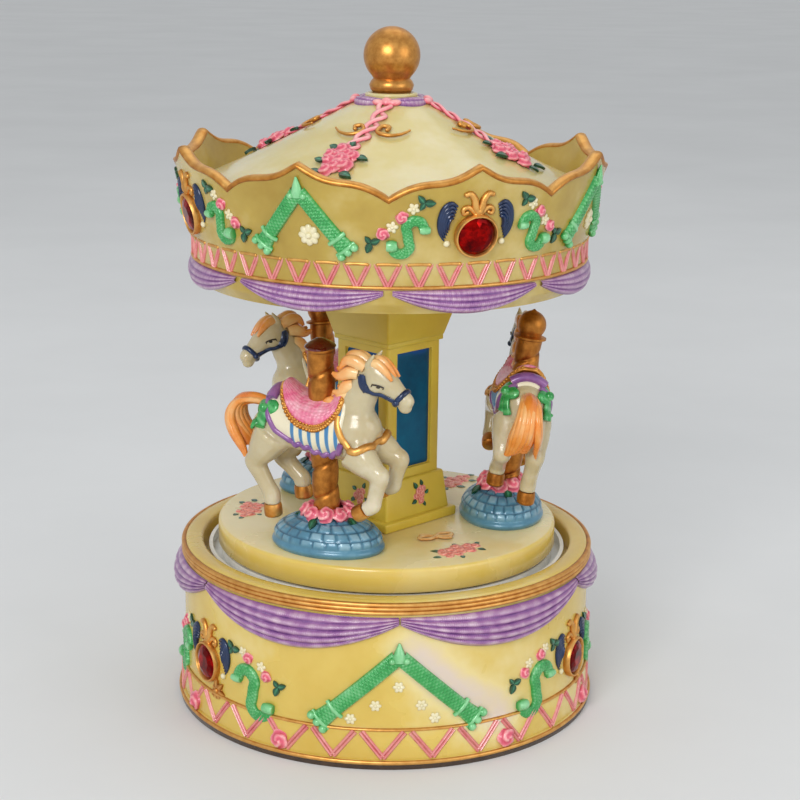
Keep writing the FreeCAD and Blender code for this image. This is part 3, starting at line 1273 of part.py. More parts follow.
def build():
    """Every sub-part of the music box, by name."""
    nodes = {
        "base_shell": base_shell(),
        "base_jewels": jewels(PANELS, BASE_TURN, 1, WALL_RADIUS, BASE_JEWEL_Z),
        "felt_ring": felt_ring(),
        "bottom_plate": bottom_plate(),
        "plate_screws": plate_screws(),
        "bearing_ring": bearing_ring(),
        "shaft_bush": shaft_bush(),
        "turntable": turntable(),
        "drive_hub": drive_hub(),
        "hub_screws": hub_screws(),
        "column": column(),
        "canopy": canopy(),
        "canopy_jewels": jewels(LOBES, CANOPY_TURN, 0, cornice_wall(CANOPY_JEWEL_Z), CANOPY_JEWEL_Z,
                                cornice_flare()),
        "finial": finial(),
        "bedplate": bedplate(),
        "bedplate_screws": bedplate_screws(),
        "comb": comb(),
        "comb_screws": comb_screws(),
        "spring_barrel": spring_barrel(),
        "barrel_lid": barrel_lid(),
        "mainspring": mainspring(),
        "winding_arbor": winding_arbor(),
        "winding_key": winding_key(),
        "cylinder": cylinder(),
        "cylinder_shaft": cylinder_shaft(),
        "cylinder_pinion": cylinder_pinion(),
        "cylinder_gear": cylinder_gear(),
        "second_wheel": second_wheel(),
        "governor_worm": governor_worm(),
        "governor_fan": governor_fan(),
        "governor_bracket": governor_bracket(),
    }
    nodes.update(horse_sets())
    return nodes


def main():
    """Writes one STEP file for every sub-part."""
    os.makedirs("parts", exist_ok=True)
    for name, shape in build().items():
        shape.exportStep("parts/" + name + ".step")
        state = "valid" if shape.isValid() else "INVALID"
        print(name, len(shape.Solids), "solids", state, round(shape.Volume, 1))


if __name__ == "__main__":
    main()
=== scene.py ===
"""Wind-up carousel music box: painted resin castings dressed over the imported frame."""

import logging
import random
from dataclasses import dataclass, field
from enum import Enum
from math import acos, atan2, cos, degrees, exp, floor, hypot, inf, pi, radians, sin, sqrt, tau
from typing import Callable, Optional, Sequence

import bmesh
import bpy
from bmesh.types import BMEdge, BMVert
from bpy.types import ID, Material, Mesh, Node, NodeSocket, NodeTree, Object
from mathutils import Matrix, Vector
from mathutils.bvhtree import BVHTree


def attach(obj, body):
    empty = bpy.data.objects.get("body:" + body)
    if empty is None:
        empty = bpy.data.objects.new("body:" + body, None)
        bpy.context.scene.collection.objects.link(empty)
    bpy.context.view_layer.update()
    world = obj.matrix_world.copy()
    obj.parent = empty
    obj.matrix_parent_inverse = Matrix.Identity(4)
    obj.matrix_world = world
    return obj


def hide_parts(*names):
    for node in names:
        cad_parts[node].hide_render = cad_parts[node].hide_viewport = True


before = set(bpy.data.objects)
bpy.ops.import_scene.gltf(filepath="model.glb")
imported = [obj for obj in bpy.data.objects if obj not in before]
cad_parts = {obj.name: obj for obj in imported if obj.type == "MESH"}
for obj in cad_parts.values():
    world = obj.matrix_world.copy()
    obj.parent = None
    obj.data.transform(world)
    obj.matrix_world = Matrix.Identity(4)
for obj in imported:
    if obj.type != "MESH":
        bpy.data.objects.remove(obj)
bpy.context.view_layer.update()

MM = 0.001
COAT_ROUGHNESS = 0.08
GLOW_RADIUS = (1.0, 0.7, 0.3)
GLOW_DEPTH = 0.0025
ROUND = 192
UP = Vector((0, 0, 1))
SIDEWAYS = Vector((0, 1, 0))
LOG = logging.getLogger("carousel")
Place = Callable[[Vector], Vector]
Pair = tuple[float, float]
Station = tuple[float, float, float, float, float]


class Pattern(Enum):
    """Ways in which a finish varies over a surface."""

    CLOUD = "cloud"
    WEAVE = "weave"
    SCALES = "scales"
    BRUSHED = "brushed"
    STRIPES = "stripes"
    FELT = "felt"


def tint(code: int) -> tuple[float, float, float, float]:
    """Linear colour of a six-digit screen colour.

    Args:
        code: Colour as 0xRRGGBB.

    Returns:
        Red, green, blue and alpha for a shader socket.
    """
    parts = [((code >> shift) & 255) / 255 for shift in (16, 8, 0)]
    linear = [c / 12.92 if c <= 0.04045 else ((c + 0.055) / 1.055) ** 2.4 for c in parts]
    return (*linear, 1.0)


def settle(node: Node, **values: object) -> Node:
    """Sets inputs of a node.

    Args:
        node: Shader node.
        values: Value of each input, named with underscores for spaces.

    Returns:
        The node.
    """
    for name, value in values.items():
        node.inputs[name.replace("_", " ")].default_value = value
    return node


def added(tree: NodeTree, kind: str, source: Optional[NodeSocket] = None,
          into: str = "Vector", **values: object) -> Node:
    """Adds a node to a material.

    Args:
        tree: Node tree of the material.
        kind: Kind of node, without its prefix.
        source: Socket that is linked to an input of the node.
        into: Name of that input.
        values: Value of each other input, named with underscores for spaces.

    Returns:
        The node.
    """
    node = settle(tree.nodes.new(f"ShaderNode{kind}"), **values)
    if source:
        tree.links.new(source, node.inputs[into])
    return node


def shown(name: str, data: ID) -> Object:
    """Puts a new object in the scene.

    Args:
        name: Name of the object.
        data: Its mesh, lamp or camera.

    Returns:
        The object.
    """
    made = bpy.data.objects.new(name, data)
    bpy.context.scene.collection.objects.link(made)
    return made


@dataclass(frozen=True)
class Finish:
    """A cast, painted or metal surface, made as one procedural material."""

    name: str
    colours: tuple[int, ...]
    roughness: Pair = (0.3, 0.45)
    places: tuple[float, ...] = ()
    metallic: float = 0.0
    coat: float = 0.0
    grain: float = 260.0
    relief: float = 0.0
    bump: float = 0.1
    depth: float = 0.2
    glow: float = 0.0
    sheen: float = 0.0
    pattern: Pattern = Pattern.CLOUD

    def material(self) -> Material:
        """Makes the material on first use, with noise, pattern and relief, which paints colour zones,
        highlights and shade.

        Returns:
            The material of this finish.
        """
        found = bpy.data.materials.get(self.name)
        if found:
            return found
        made = bpy.data.materials.new(self.name)
        made.use_nodes = True
        tree = made.node_tree
        shader = settle(tree.nodes["Principled BSDF"], Metallic=self.metallic, Coat_Weight=self.coat,
                        Coat_Roughness=COAT_ROUGHNESS, Sheen_Weight=self.sheen)
        if self.glow:
            settle(shader, Subsurface_Weight=self.glow, Subsurface_Radius=GLOW_RADIUS,
                   Subsurface_Scale=GLOW_DEPTH)
        stretch = (1, 1, 9) if self.pattern is Pattern.BRUSHED else (1, 1, 1)
        mapping = added(tree, "Mapping", added(tree, "TexCoord").outputs["Object"], Scale=stretch)
        noise = added(tree, "TexNoise", mapping.outputs["Vector"], Scale=self.grain, Detail=5, Roughness=0.6)
        cloud = noise.outputs["Fac"]
        height = self.height(tree, cloud)
        source = height if self.pattern is Pattern.STRIPES else cloud
        factor = added(tree, "MapRange", source, "Value", From_Min=0.3, From_Max=0.7).outputs["Result"]
        # Relief mixes in painted colour zones and painted light: lighter tops, outer sides and ridges,
        # darker grooves.
        if self.relief:
            relief = added(tree, "Attribute")
            relief.attribute_name = "relief"
            mix = added(tree, "Mix", factor, "A", Factor=self.relief)
            tree.links.new(relief.outputs["Fac"], mix.inputs["B"])
            factor = mix.outputs["Result"]
        ramp = added(tree, "ValToRGB", factor, "Fac")
        stops = ramp.color_ramp.elements
        for index, code in enumerate(self.colours):
            place = self.places[index] if self.places else index / (len(self.colours) - 1)
            stop = stops[index] if index < 2 else stops.new(place)
            stop.position = place
            stop.color = tint(code)
        low, high = self.roughness
        gloss = added(tree, "MapRange", cloud, "Value", To_Min=low, To_Max=high)
        bump = added(tree, "Bump", height, "Height", Strength=self.bump, Distance=self.depth * MM)
        tree.links.new(ramp.outputs["Color"], shader.inputs["Base Color"])
        tree.links.new(gloss.outputs["Result"], shader.inputs["Roughness"])
        tree.links.new(bump.outputs["Normal"], shader.inputs["Normal"])
        return made

    def height(self, tree: NodeTree, cloud: NodeSocket) -> NodeSocket:
        """Adds the fine surface height of the pattern.

        Args:
            tree: Node tree of the material.
            cloud: Soft noise of the finish.

        Returns:
            Height value socket.
        """
        if self.pattern in (Pattern.CLOUD, Pattern.BRUSHED):
            return cloud
        if self.pattern is Pattern.FELT:
            place = added(tree, "TexCoord").outputs["Object"]
            return added(tree, "TexNoise", place, Scale=self.grain * 12).outputs["Fac"]
        cloth = added(tree, "Attribute")
        cloth.attribute_name = "cloth"
        place = cloth.outputs["Vector"]
        if self.pattern is Pattern.SCALES:
            cells = added(tree, "TexVoronoi", place, Scale=2.2, Randomness=0.35)
            flip = added(tree, "MapRange", cells.outputs["Distance"], "Value", From_Max=0.7, To_Min=1.0,
                         To_Max=0.0)
            return flip.outputs["Result"]
        scale, distortion = (0.62, 1.6) if self.pattern is Pattern.WEAVE else (0.1366, 0.2)
        wave = added(tree, "TexWave", place, Scale=scale, Distortion=distortion, Detail=2, Detail_Scale=1.4)
        wave.bands_direction = "X"
        return wave.outputs["Fac"]


class Finishes:
    """Every finish of the music box."""

    # With a relief weight, a finish's upper stops paint highlights on tops and ridges and its lower stops
    # paint shade in grooves; CAST uses relief for its milky streak and PEACH for cream hair roots.
    CAST = Finish("cast_resin", (0xCDAA44, 0xDBBE5E, 0xE6D392, 0xDCCABA), (0.2, 0.34),
                  places=(0.27, 0.51, 0.67, 0.88), coat=0.3, grain=26, relief=0.6, bump=0.04, glow=0.25)
    # Its lightest stop is laid on the disc's top face as painted light, so the top reads brighter than the
    # rim.
    DISC_PAINTED_LIT_TOP = Finish("disc_resin_painted_lit_top", (0xCDAA44, 0xDBBE5E, 0xF2E6BA), (0.2, 0.34), places=(0.0, 0.4, 1.0),
                  coat=0.3, grain=26, relief=0.6, bump=0.04, glow=0.25)
    WAX = Finish("canopy_resin", (0x9E7E26, 0xB89C42, 0xD6C284), (0.18, 0.32), coat=0.3, grain=30,
                 bump=0.04, glow=0.3)
    ROOF = Finish("roof_resin", (0xC8B25E, 0xD2C280, 0xE0D6AE), (0.16, 0.3), coat=0.4, grain=26,
                  bump=0.04, glow=0.3)
    PILLAR = Finish("pillar_resin", (0xCCAC33, 0xE0C64D), (0.28, 0.44), coat=0.12, grain=40, bump=0.05,
                    glow=0.2)
    GILT = Finish("gilt_paint", (0x7A4010, 0xC88438, 0xF0BC6C), (0.32, 0.5), places=(0.0, 0.45, 1.0),
                  metallic=0.85, grain=420, relief=0.6, bump=0.25)
    FINIAL = Finish("finial_gilt", (0xB87A38, 0xDCA052), (0.28, 0.4), metallic=0.85, grain=700, bump=0.08)
    BOW = Finish("bow_gilt", (0x8A4E18, 0xD69A50, 0xF6DCA4), (0.28, 0.42), metallic=0.3, coat=0.3,
                 grain=500, relief=0.6)
    LILAC = Finish("lilac_pearl", (0x5C2C7C, 0xA06CA0, 0xE4CED6), (0.25, 0.4), metallic=0.1, coat=0.4,
                   grain=260, relief=0.7, bump=0.5, pattern=Pattern.WEAVE)
    GREEN = Finish("green_pearl", (0x0A6A2E, 0x35A250, 0x9CDCA4), (0.2, 0.36), metallic=0.1, coat=0.4,
                   grain=300, relief=0.7, bump=0.5, depth=0.25, pattern=Pattern.SCALES)
    ROSE = Finish("rose_paint", (0xC02E52, 0xE86C80, 0xF8C4BE), (0.25, 0.4), coat=0.3, grain=500,
                  relief=0.75)
    SALMON = Finish("salmon_paint", (0xC9524E, 0xE98A7C, 0xF5C0A6), (0.3, 0.45), coat=0.2, grain=500,
                    relief=0.75)
    LATTICE = Finish("lattice_pink", (0xC8485C, 0xD97177, 0xE49F95), (0.2, 0.35), coat=0.35, grain=380,
                     relief=0.6)
    LEAF = Finish("leaf_green", (0x042A18, 0x0E5233, 0x4B9A74), (0.2, 0.4), places=(0.0, 0.6, 1.0),
                  coat=0.3, grain=500, relief=0.6)
    CREAM = Finish("blossom_cream", (0xCDB878, 0xEEE6C4), (0.22, 0.36), coat=0.4, grain=400, relief=0.6)
    NAVY = Finish("navy_pearl", (0x081430, 0x183460, 0x5C7EA8), (0.2, 0.38), places=(0.0, 0.6, 1.0),
                  metallic=0.15, coat=0.35, grain=420, relief=0.65)
    PANEL = Finish("panel_teal", (0x0244A8, 0x005074, 0x006E96, 0x1890AE), (0.3, 0.46),
                   places=(0.0, 0.35, 0.75, 1.0), metallic=0.5, coat=0.02, grain=110, relief=0.6,
                   bump=0.08)
    COBBLE = Finish("cobble_blue", (0x1E4660, 0x52869E, 0xA4C4D0), (0.24, 0.42), metallic=0.1, coat=0.35,
                    grain=240, relief=0.7, bump=0.2)
    HORSE = Finish("pearl_enamel", (0xB9A87F, 0xC6B996, 0xD8CEB4), (0.18, 0.3), places=(0.0, 0.6, 1.0),
                   coat=0.45, grain=70, bump=0.05, glow=0.25)
    PEACH = Finish("peach_hair", (0xCC5814, 0xEA923C, 0xF4D094), (0.22, 0.36), coat=0.4, grain=240,
                   relief=0.65)
    SADDLE = Finish("saddle_pink", (0xC02C60, 0xE66E92, 0xF6C6CE), (0.22, 0.38), metallic=0.05, coat=0.4,
                    grain=420, relief=0.5, bump=0.6, depth=0.35, pattern=Pattern.SCALES)
    BLANKET = Finish("blanket_stripe", (0x3F7FB2, 0x7CAFCE, 0xD8CCAA, 0xE6DCBE), (0.22, 0.38),
                     places=(0.0, 0.4, 0.6, 1.0), coat=0.4, grain=300, bump=0.3, pattern=Pattern.STRIPES)
    LASH = Finish("lash_paint", (0x1A1410, 0x3A2C22), (0.3, 0.5), grain=600)
    GEM = Finish("ruby_stone", (0x2C0001, 0x760001, 0xC80A04), (0.04, 0.1), metallic=0.95, coat=0.05,
                 grain=330, bump=0.0)
    GARNET = Finish("garnet_cap", (0x340804, 0x62160A), (0.05, 0.12), coat=0.6, grain=90, bump=0.02)
    FELT = Finish("foot_felt", (0x2A1C12, 0x4A3524), (0.85, 0.98), grain=420, bump=0.6, depth=0.3,
                  sheen=0.4, pattern=Pattern.FELT)
    PLATE = Finish("under_plate", (0x151515, 0x2B2A29), (0.45, 0.65), grain=700, bump=0.15)
    WHITE = Finish("ring_white", (0xD9D8D2, 0xF2F1EC), (0.3, 0.45), coat=0.1, grain=160, bump=0.04)
    STEEL = Finish("bright_steel", (0x84868A, 0xB9BBBF), (0.22, 0.42), metallic=1.0, grain=500, bump=0.08,
                   pattern=Pattern.BRUSHED)
    BRASS = Finish("rolled_brass", (0x9A7838, 0xD4B264), (0.2, 0.4), metallic=1.0, grain=400, bump=0.08,
                   pattern=Pattern.BRUSHED)
    FLOOR = Finish("pale_floor", (0xDDDEDE, 0xE4E5E5), (0.6, 0.8), grain=6, bump=0.02)


class Form:
    """A mesh in the making, in millimetres."""

    def __init__(self) -> None:
        """Starts an empty mesh with its relief and cloth layers."""
        self.bm = bmesh.new()
        # The relief layer steers colour: painted colour zones, and on most pieces painted highlights and
        # painted shade.
        self.relief = self.bm.verts.layers.float.new("relief")
        self.cloth = self.bm.verts.layers.float_vector.new("cloth")

    def mesh(self, name: str, scale: float = 1.0) -> Mesh:
        """Writes the form to a new mesh.

        Args:
            name: Name of the mesh.
            scale: Scale from millimetres.

        Returns:
            The mesh.
        """
        made = bpy.data.meshes.new(name)
        self.bm.to_mesh(made)
        made.transform(Matrix.Scale(scale, 4))
        return made

    def add(self, other: "Form", *places: Place) -> "Form":
        """Appends a copy of another form at each place.

        Args:
            other: Form to copy.
            places: Maps of the copy's points; none keeps them.

        Returns:
            This form.
        """
        mesh = other.mesh("copy")
        for place in places or (None,):
            start = len(self.bm.verts)
            self.bm.from_mesh(mesh)
            self.bm.verts.ensure_lookup_table()
            for vert in self.bm.verts[start:] if place else ():
                vert.co = place(vert.co)
        bpy.data.meshes.remove(mesh)
        self.relief = self.bm.verts.layers.float["relief"]
        self.cloth = self.bm.verts.layers.float_vector["cloth"]
        return self

    def grid(self, columns: int, rows: int) -> list[BMVert]:
        """Adds a flat grid that runs from -1 to 1 along X and Y, and gives its points."""
        return bmesh.ops.create_grid(self.bm, x_segments=columns, y_segments=rows, size=1)["verts"]

    def shell(self) -> set[BMVert]:
        """Doubles the faces into a closed shell, and gives the new points."""
        grown = bmesh.ops.extrude_face_region(self.bm, geom=list(self.bm.faces))["geom"]
        return {item for item in grown if isinstance(item, BMVert)}

    def grow(self, edges: Sequence[BMEdge], matrix: Matrix) -> list[BMEdge]:
        """Draws a ring of edges out into a tube.

        Args:
            edges: Edges of the ring.
            matrix: Move from this ring to the new one.

        Returns:
            Edges of the new ring.
        """
        grown = bmesh.ops.extrude_edge_only(self.bm, edges=edges)["geom"]
        verts = {item for item in grown if isinstance(item, BMVert)}
        bmesh.ops.transform(self.bm, matrix=matrix, verts=list(verts))
        return [item for item in grown if isinstance(item, BMEdge) and set(item.verts) <= verts]

    def soften(self, edges: Sequence[BMEdge], width: float) -> None:
        """Rounds edges over."""
        bmesh.ops.bevel(self.bm, geom=edges, offset=width, segments=3, profile=0.5, affect="EDGES",
                        material=-1)

    def close(self) -> "Form":
        """Merges doubled points and turns the faces outwards."""
        bmesh.ops.remove_doubles(self.bm, verts=self.bm.verts, dist=1e-4)
        bmesh.ops.recalc_face_normals(self.bm, faces=self.bm.faces)
        return self

    def moved(self, matrix: Matrix) -> "Form":
        """Moves the whole form."""
        bmesh.ops.transform(self.bm, matrix=matrix, verts=self.bm.verts)
        return self

    def shaped(self, rule: Callable[[Vector], Vector]) -> "Form":
        """Moves every point by a rule."""
        for vert in self.bm.verts:
            vert.co = rule(vert.co.copy())
        return self

    def smooth(self, times: int, verts: Sequence[BMVert]) -> None:
        """Moves points half way to their neighbours' middle, a number of times."""
        for _ in range(times):
            bmesh.ops.smooth_vert(self.bm, verts=verts, factor=0.5, use_axis_x=True, use_axis_y=True,
                                  use_axis_z=True)

    def painted(self, rule: Callable[[Vector], float]) -> "Form":
        """Sets the relief of every point by a rule."""
        for vert in self.bm.verts:
            vert[self.relief] = rule(vert.co)
        return self

    def piece(self, name: str, finish: Finish, slot: str = "resin_cream", body: str = "carousel",
              crease: float = 60.0) -> Object:
        """Makes the finished object and lets it ride on a body.

        Args:
            name: Name of the piece.
            finish: Its finish.
            slot: Material slot of the record; not used.
            body: Body that carries it.
            crease: Angle in degrees above which an edge stays sharp.

        Returns:
            The object.
        """
        mesh = self.mesh(name, MM)
        mesh.shade_smooth()
        mesh.set_sharp_from_angle(angle=radians(crease))
        mesh.materials.append(finish.material())
        made = shown(name, mesh)
        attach(made, body)
        self.bm.free()
        LOG.info("%s: %d faces on %s", name, len(mesh.polygons), body)
        return made


@dataclass(frozen=True)
class Wall:
    """Round wall between two (radius, height) points, for ornaments laid on it."""

    low: Pair
    high: Pair

    def radius(self, height: float) -> float:
        """Radius of the wall at a height."""
        share = (height - self.low[1]) / (self.high[1] - self.low[1])
        return self.low[0] + (self.high[0] - self.low[0]) * share

    def place(self, azimuth: float, height: float, turn: float = 0.0, scale: float = 1.0) -> Place:
        """Map that lays a flat ornament (right, up, out) on the wall.

        Args:
            azimuth: Angle of its middle in degrees from the front.
            height: Height of its middle.
            turn: Turn of the ornament in degrees, anticlockwise.
            scale: Size of the ornament.

        Returns:
            Map from the flat ornament to the wall.
        """
        rise = Vector((self.high[0] - self.low[0], self.high[1] - self.low[1])).normalized()
        start = self.radius(height)
        spin = Matrix.Rotation(radians(turn), 3, "Z") * scale

        def put(point: Vector) -> Vector:
            """Point of the ornament on the wall."""
            flat = spin @ point
            radius = start + rise.x * flat.y
            angle = radians(azimuth) + flat.x / radius
            out = radius + rise.y * flat.z
            level = height + rise.y * flat.y - rise.x * flat.z
            return Vector((out * sin(angle), -out * cos(angle), level))

        return put

    def around(self, count: int, height: float, start: float = 0.0) -> list[Place]:
        """Maps to places that are spread evenly round the wall, from a first angle on."""
        return [self.place(start + 360 / count * index, height) for index in range(count)]


def at(azimuth: float, radius: float, height: float) -> Vector:
    """Point at an angle in degrees from the front, a radius and a height."""
    turn = radians(azimuth)
    return Vector((radius * sin(turn), -radius * cos(turn), height))


def clamp(value: float) -> float:
    """Value held between 0 and 1."""
    return max(0.0, min(1.0, value))


def spun(angle: float, axis: str = "Z") -> Matrix:
    """Turn about an axis by an angle in degrees."""
    return Matrix.Rotation(radians(angle), 4, axis)


def by(matrix: Matrix) -> Place:
    """Map that moves points by a matrix."""
    return lambda co: matrix @ co


def laid(x: float, y: float, z: float, turn: float = 0.0, scale: float = 1.0) -> Place:
    """Map that lays a level ornament at a point, turned in degrees and scaled."""
    return by(Matrix.Translation((x, y, z)) @ spun(turn) @ Matrix.Scale(scale, 4))


def onto(place: Place, x: float, y: float, z: float) -> Place:
    """Map that shifts points before another map."""
    return lambda co: place(co + Vector((x, y, z)))


def bed(base: Matrix, lift: float, squash: float) -> Callable[..., Place]:
    """Places for the flowers of a spray on a flat surface.

    Args:
        base: Matrix of the surface, its Z axis outwards.
        lift: Height of the flowers' middles above it.
        squash: Height of the flowers as a share of their size.

    Returns:
        Function that makes a map from right, up, turn and scale.
    """
    def put(x: float, y: float, lean: float, scale: float) -> Place:
        """Map of one flower or leaf."""
        local = Matrix.Translation((x, y, lift)) @ spun(lean)
        return by(base @ local @ Matrix.Diagonal((scale, scale, scale * squash, 1)))

    return put


def row_at(rows: Sequence[Sequence[float]], place: float) -> list[float]:
    """Row of a table at a place between its rows.

    Args:
        rows: Rows in order, each with its place first.
        place: Place to look up.

    Returns:
        The row at that place.
    """
    for near, far in zip(rows, rows[1:]):
        if place <= far[0]:
            break
    share = min((place - near[0]) / (far[0] - near[0]), 1.0)
    return [a + (b - a) * share for a, b in zip(near, far)]


def flow(points: Sequence[Vector], steps: int) -> list[Vector]:
    """Smooth line through points.

    Args:
        points: Points of any dimension.
        steps: Steps between each pair of points.

    Returns:
        Points of the line.
    """
    line = []
    last = len(points) - 1
    for index in range(last):
        a, b = points[max(index - 1, 0)], points[index]
        c, d = points[index + 1], points[min(index + 2, last)]
        for step in range(steps):
            t = step / steps
            bend = (2 * a - 5 * b + 4 * c - d) * t * t + (3 * b - a - 3 * c + d) * t ** 3
            line.append(0.5 * (2 * b + (c - a) * t + bend))
    return line + [points[-1]]


def sweep(path: Sequence[Vector], widths: Sequence[Pair], face: Optional[Sequence[Vector]] = None,
          side: Optional[Vector] = None, sides: int = 8, closed: bool = False) -> Form:
    """Tube of oval sections along a path.

    Args:
        path: Middle of each section.
        widths: Half width and half height of each section.
        face: Direction that each section's height points to; the default is +Z.
        side: Direction of the sections' width, in place of face.
        sides: Sides of a section.
        closed: Whether the path closes on itself.

    Returns:
        The closed tube, with its relief highest on the outer side as a painted highlight.
    """
    form, count, stations = Form(), len(path), []
    for index, point in enumerate(path):
        before = path[index - 1] if closed or index else path[0]
        after = path[(index + 1) % count] if closed or index < count - 1 else path[-1]
        along = (after - before).normalized()
        if side:
            across = (side - along * side.dot(along)).normalized()
            out = along.cross(across)
        else:
            across = along.cross(face[index] if face else UP).normalized()
            out = across.cross(along)
        station = Matrix.Identity(4)
        for column, axis in enumerate((across * widths[index][0], out * widths[index][1], along, point)):
            station.col[column][:3] = axis
        stations.append(station)
    ring = bmesh.ops.create_circle(form.bm, segments=sides, radius=1)["verts"]
    # Painted highlight: each tube is lighter on its outer side and darker on its inner side.
    for vert in ring:
        vert[form.relief] = 0.5 + 0.5 * vert.co.y
    bmesh.ops.transform(form.bm, matrix=stations[0], verts=ring)
    first = edges = list(form.bm.edges)
    for before, station in zip(stations, stations[1:]):
        edges = form.grow(edges, station @ before.inverted_safe())
    if closed:
        bmesh.ops.bridge_loops(form.bm, edges=first + edges)
    else:
        bmesh.ops.edgeloop_fill(form.bm, edges=first)
        bmesh.ops.edgeloop_fill(form.bm, edges=edges)
    bmesh.ops.recalc_face_normals(form.bm, faces=form.bm.faces)
    return form


def lathe(profile: Sequence[Pair], steps: int = 160, closed: bool = True) -> Form:
    """Turned form from (radius, height) points.

    Args:
        profile: Points of the section.
        steps: Steps round the axis.
        closed: Whether the section closes on itself.

    Returns:
        The turned form.
    """
    form = Form()
    verts = [form.bm.verts.new((radius, 0, height)) for radius, height in profile]
    edges = [form.bm.edges.new(pair) for pair in zip(verts, verts[1:])]
    if closed:
        edges.append(form.bm.edges.new((verts[-1], verts[0])))
    bmesh.ops.spin(form.bm, geom=verts + edges, axis=UP, cent=(0, 0, 0), angle=tau, steps=steps,
                   use_merge=True)
    return form.close()


def hoop(radius: float, height: float, thick: float, tall: float, steps: int = 160, sides: int = 8) -> Form:
    """Turned ring of oval section, by its middle and its half thickness and half height."""
    turns = [tau * step / sides for step in range(sides)]
    form = lathe([(radius + thick * cos(turn), height + tall * sin(turn)) for turn in turns], steps)
    # Painted highlight: the ring is lighter on its outer side and darker on its inner side.
    return form.painted(lambda co: 0.5 + 0.5 * (co.xy.length - radius) / thick)


def ball(radius: float, stretch: tuple[float, float, float] = (1, 1, 1), detail: int = 2) -> Form:
    """Rounded bead with its relief highest at the top, a painted highlight.

    Args:
        radius: Radius of the bead.
        stretch: Scale along X, Y and Z.
        detail: Subdivisions.

    Returns:
        The bead.
    """
    form = Form()
    bmesh.ops.create_icosphere(form.bm, subdivisions=detail, radius=radius)
    # Painted highlight: the bead is lighter at its top and darker underneath.
    form.painted(lambda co: 0.5 + 0.5 * co.z / radius)
    bmesh.ops.scale(form.bm, vec=stretch, verts=form.bm.verts)
    return form


# Ornaments are made flat: X to the right, Y up, Z out of the wall.
def rose_form(radius: float) -> Form:
    """Full rose with swirling petals.

    Args:
        radius: Radius of the flower.

    Returns:
        The rose.
    """
    form = Form()
    bmesh.ops.create_uvsphere(form.bm, u_segments=22, v_segments=14, radius=1)
    low = [face for face in form.bm.faces if face.calc_center_median().z < -0.25]
    bmesh.ops.delete(form.bm, geom=low, context="FACES")
    for vert in form.bm.verts:
        reach = acos(max(-1.0, min(1.0, vert.co.z)))
        around = atan2(vert.co.y, vert.co.x)
        swirl = sin(2 * around + 6.5 * reach)
        lobes = cos(5 * around) * min(reach, 1.6) / 1.6
        # Painted highlight on the raised swirls of the petals, painted shade in the grooves between them.
        vert[form.relief] = 0.5 + 0.42 * swirl + 0.08 * lobes
        vert.co *= radius * (1 + 0.13 * swirl + 0.08 * lobes)
        vert.co.z *= 0.8
    return form


def blossom_form(radius: float, petals: int = 5) -> Form:
    """Open flower with round petals and a domed middle.

    Args:
        radius: Radius of the flower.
        petals: Number of petals.

    Returns:
        The flower.
    """
    form = ball(radius * 0.34, (1, 1, 0.9), 2).moved(Matrix.Translation((0, 0, radius * 0.2)))
    petal = ball(radius * 0.46, (1.15, 0.85, 0.5), 2)
    for index in range(petals):
        matrix = spun(360 * index / petals) @ Matrix.Translation((radius * 0.58, 0, radius * 0.05))
        form.add(petal, by(matrix))
    return form


def leaf_form(length: float, width: float) -> Form:
    """Pointed leaf with a raised rib, its stalk at the origin and its tip along X.

    Args:
        length: Length of the leaf.
        width: Width of the leaf.

    Returns:
        The leaf.
    """
    form = Form()
    for vert in form.grid(6, 4):
        t, s = (vert.co.x + 1) / 2, vert.co.y
        half = width / 2 * sin(pi * t ** 0.75) ** 0.8 + 0.02
        rise = 0.35 + 0.25 * width * (abs(s) ** 1.5 - abs(s)) + 0.3 * sin(pi * t)
        # Painted highlight along the raised middle rib, painted shade towards the lower edges.
        vert[form.relief] = 0.85 - 0.7 * abs(s) if abs(s) > 0.1 else 1.0
        vert.co = Vector((length * t, half * s, rise))
    bmesh.ops.translate(form.bm, vec=(0, 0, -0.6), verts=list(form.shell()))
    return form.close()


def stem_form(points: Sequence[Pair], start: float, end: float, steps: int = 5, swell: float = 0.0) -> Form:
    """Round tapered stem along flat points.

    Args:
        points: Points to the right and up.
        start: Radius at the start.
        end: Radius at the end.
        steps: Steps between each pair of points.
        swell: Extra radius in the middle.

    Returns:
        The stem, half sunk in the wall.
    """
    line = flow([Vector((x, y, 0.2)) for x, y in points], steps)
    last = len(line) - 1
    widths = []
    for index in range(last + 1):
        share = index / last
        radius = start + (end - start) * share + swell * sin(pi * share)
        widths.append((radius, radius))
    form = sweep(line, widths)
    form.add(ball(end * 1.15), laid(*line[-1]))
    return form.add(ball(start * 1.05), laid(*line[0]))


def volute_form(hand: int) -> Form:
    """Spiral scroll with a long tail, to one side of the origin.

    Args:
        hand: 1 to the right and -1 to the left.

    Returns:
        The scroll.
    """
    points = []
    for turn, reach in ((-40, 0.55), (50, 1.0), (130, 1.55), (210, 2.0), (270, 2.3)):
        angle = radians(turn)
        points.append((3.4 + reach * cos(angle), 0.7 + reach * sin(angle)))
    points += [(5.4, -1.9), (7.6, -1.2), (9.0, 0.1)]
    return stem_form([(hand * x, y) for x, y in points], 0.5, 0.26, 5, 0.1)


